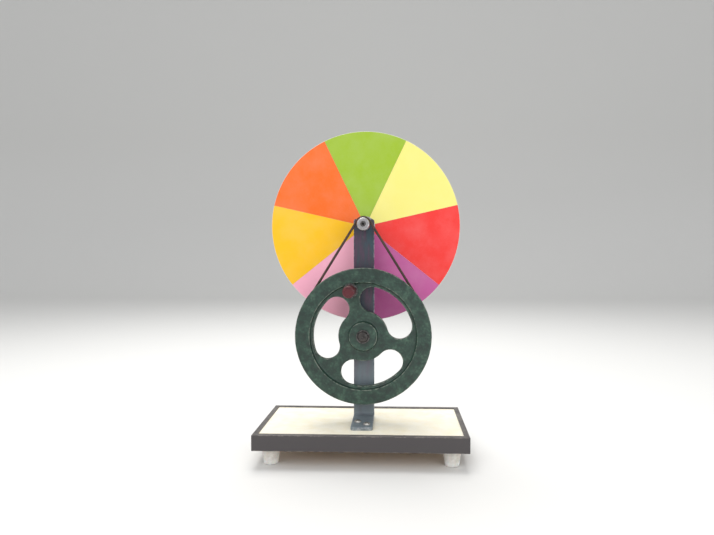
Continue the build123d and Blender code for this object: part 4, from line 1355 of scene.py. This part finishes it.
class NEWTON_OT_disc(bpy.types.Operator):
    """Cuts the disc's board and its seven coloured sectors"""
    bl_idname = "newton_disc.disc"
    bl_label = "Colour disc"

    def execute(self, context):
        sizes = context.scene.newton_disc
        low, high, rim = *span("disc_plate"), half_width("disc_plate")
        bore = SPINDLE_RADIUS + CLEAR
        edge, rim_spacing, bore_spacing = mm(0.2, 1.5, 0.4)
        board = bored_solid("disc_backing", [(bore, low, 0), (rim, low, edge), (rim, high, sizes.board_edge),
                                             (bore, high, edge)], SPINDLE_AXIS, DISC_STEPS)
        settle(board, "disc_board", "spindle", "disc_plate")

        low, high = span("sector_green")
        turn = math.tau / len(SECTOR_NAMES)
        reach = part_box("sector_green")[1].z - SPINDLE_AXIS.z
        for count, name in enumerate(SECTOR_NAMES):
            start = math.pi / 2 - turn / 2 - count * turn
            end = start + turn
            loop = arc((0, 0), reach, start, turn, rim_spacing)
            loop.append((reach * math.cos(end), reach * math.sin(end)))
            loop += arc((0, 0), bore, end, -turn, bore_spacing)
            loop.append((bore * math.cos(start), bore * math.sin(start)))
            loop = self.narrowed(loop, start, end, sizes.sector_gap / 2)
            sheet = Shape().plate([loop], low, high, sizes.sector_edge, lambda x, z, y: (x, y, z))
            settle(sheet.solid("card_" + name, SPINDLE_AXIS), "paper_" + name, "spindle", "sector_" + name)
        return {"FINISHED"}

    def narrowed(self, loop, start, end, gap):
        """Draws a sector's two straight sides in by half of the seam, each along its own normal."""
        points = np.array(loop)
        for heading, sense in ((start, 1), (end, -1)):
            side = np.array((math.cos(heading), math.sin(heading)))
            normal = np.array((-side[1], side[0])) * sense
            near = (points @ normal < gap) & (points @ side > 0)
            points[near] += normal * (gap - points[near] @ normal)[:, None]
        return [tuple(point) for point in points]


LAMP_SIZE = 0.9


class NEWTON_OT_stage(bpy.types.Operator):
    """Sets the pale floor with its backdrop, the soft lights, the even sky and the camera"""
    bl_idname = "newton_disc.stage"
    bl_label = "Stage"

    def execute(self, context):
        scene, stage = context.scene, context.scene.newton_stage
        self.floor(stage)
        for name, place, power in (("key_light", (-0.55, -1.0, 0.95), stage.key_power),
                                   ("fill_light", (0.75, -1.05, 0.3), stage.fill_power),
                                   ("top_light", (-0.1, 0.4, 1.35), stage.top_power)):
            self.light(scene, name, place, power)
        scene.world = bpy.data.worlds.new("even_sky")
        scene.world.use_nodes = True
        sky = scene.world.node_tree.nodes["Background"].inputs
        sky["Color"].default_value = stage.sky
        sky["Strength"].default_value = stage.sky_power
        scene.view_settings.view_transform = "Standard"
        self.camera(scene, stage)
        return {"FINISHED"}

    def floor(self, stage):
        """A floor that curves up into a backdrop behind the object."""
        finish = Finish("stage_floor", Specular_IOR_Level=0.15)
        cloud = finish.noise(finish.millimetres(), 0.01, 3.0)
        finish.done(stage.floor, finish.spread(cloud, 0.3, 0.7, 0.75, 0.85))
        side, near, far, height, curve, curve_steps = 9.0, -4.0, 3.0, 4.0, 1.0, 16
        bend = [(far - curve * (1 - math.sin(a)), curve * (1 - math.cos(a))) for a in quarter(curve_steps)]
        line = [(near, 0.0), *bend, (far, height)]
        sweep = Shape()
        one, other = (sweep.row([(x, y, z) for y, z in line]) for x in (-side, side))
        sweep.faces = [[one[k], other[k], other[k + 1], one[k + 1]] for k in range(len(line) - 1)]
        piece = sweep.solid("floor")
        piece.data.shade_smooth()
        piece.data.materials.append(finish.material)

    def light(self, scene, name, place, power):
        """A square soft light that looks at the middle of the object."""
        lamp = bpy.data.lights.new(name, "AREA")
        lamp.size = LAMP_SIZE
        lamp.energy = power
        made = bpy.data.objects.new(name, lamp)
        scene.collection.objects.link(made)
        made.location = place
        target = (cad_bounds[0] + cad_bounds[1]) / 2
        made.rotation_euler = (target - Vector(place)).to_track_quat("-Z", "Y").to_euler()

    def camera(self, scene, stage):
        camera = bpy.data.objects.new("camera", bpy.data.cameras.new("camera"))
        scene.collection.objects.link(camera)
        camera.data.lens = stage.lens
        camera.data.shift_x = stage.shift_x
        camera.data.shift_y = stage.shift_y
        camera.location = (stage.camera_right, -stage.camera_away, stage.camera_up)
        camera.rotation_euler = (math.pi / 2 - stage.pitch, 0.0, -stage.yaw)
        scene.camera = camera


# ---- Panel ----
OPERATORS = (NEWTON_OT_finishes, NEWTON_OT_board, NEWTON_OT_edging, NEWTON_OT_feet, NEWTON_OT_screws,
             NEWTON_OT_bar, NEWTON_OT_bearing, NEWTON_OT_axle, NEWTON_OT_washers, NEWTON_OT_nuts,
             NEWTON_OT_wheel, NEWTON_OT_crank, NEWTON_OT_belt, NEWTON_OT_spindle, NEWTON_OT_disc,
             NEWTON_OT_stage)
SETTINGS = {"newton_base": NewtonBase, "newton_upright": NewtonUpright, "newton_wheel": NewtonWheel,
            "newton_crank": NewtonCrank, "newton_spindle": NewtonSpindle, "newton_disc": NewtonDisc,
            "newton_hardware": NewtonHardware, "newton_stage": NewtonStage}


class NEWTON_PT_panel(bpy.types.Panel):
    """Lists the steps that build the piece and the sizes and colours that they use"""
    bl_label = "Newton disc"
    bl_idname = "NEWTON_PT_panel"
    bl_space_type = "VIEW_3D"
    bl_region_type = "UI"
    bl_category = "Newton disc"

    def draw(self, context):
        for operator in OPERATORS:
            self.layout.operator(operator.bl_idname)
        for key, group in SETTINGS.items():
            box = self.layout.box()
            box.label(text=group.__name__.replace("Newton", ""))
            for name in group.__annotations__:
                box.prop(getattr(context.scene, key), name)


def register():
    for made in (*SETTINGS.values(), *OPERATORS, NEWTON_PT_panel):
        bpy.utils.register_class(made)
    for key, group in SETTINGS.items():
        setattr(bpy.types.Scene, key, PointerProperty(type=group))


def unregister():
    for key in SETTINGS:
        delattr(bpy.types.Scene, key)
    for made in reversed((*SETTINGS.values(), *OPERATORS, NEWTON_PT_panel)):
        bpy.utils.unregister_class(made)


def main():
    register()
    for operator in OPERATORS:
        family, step = operator.bl_idname.split(".")
        getattr(getattr(bpy.ops, family), step)()


if __name__ == "__main__":
    main()
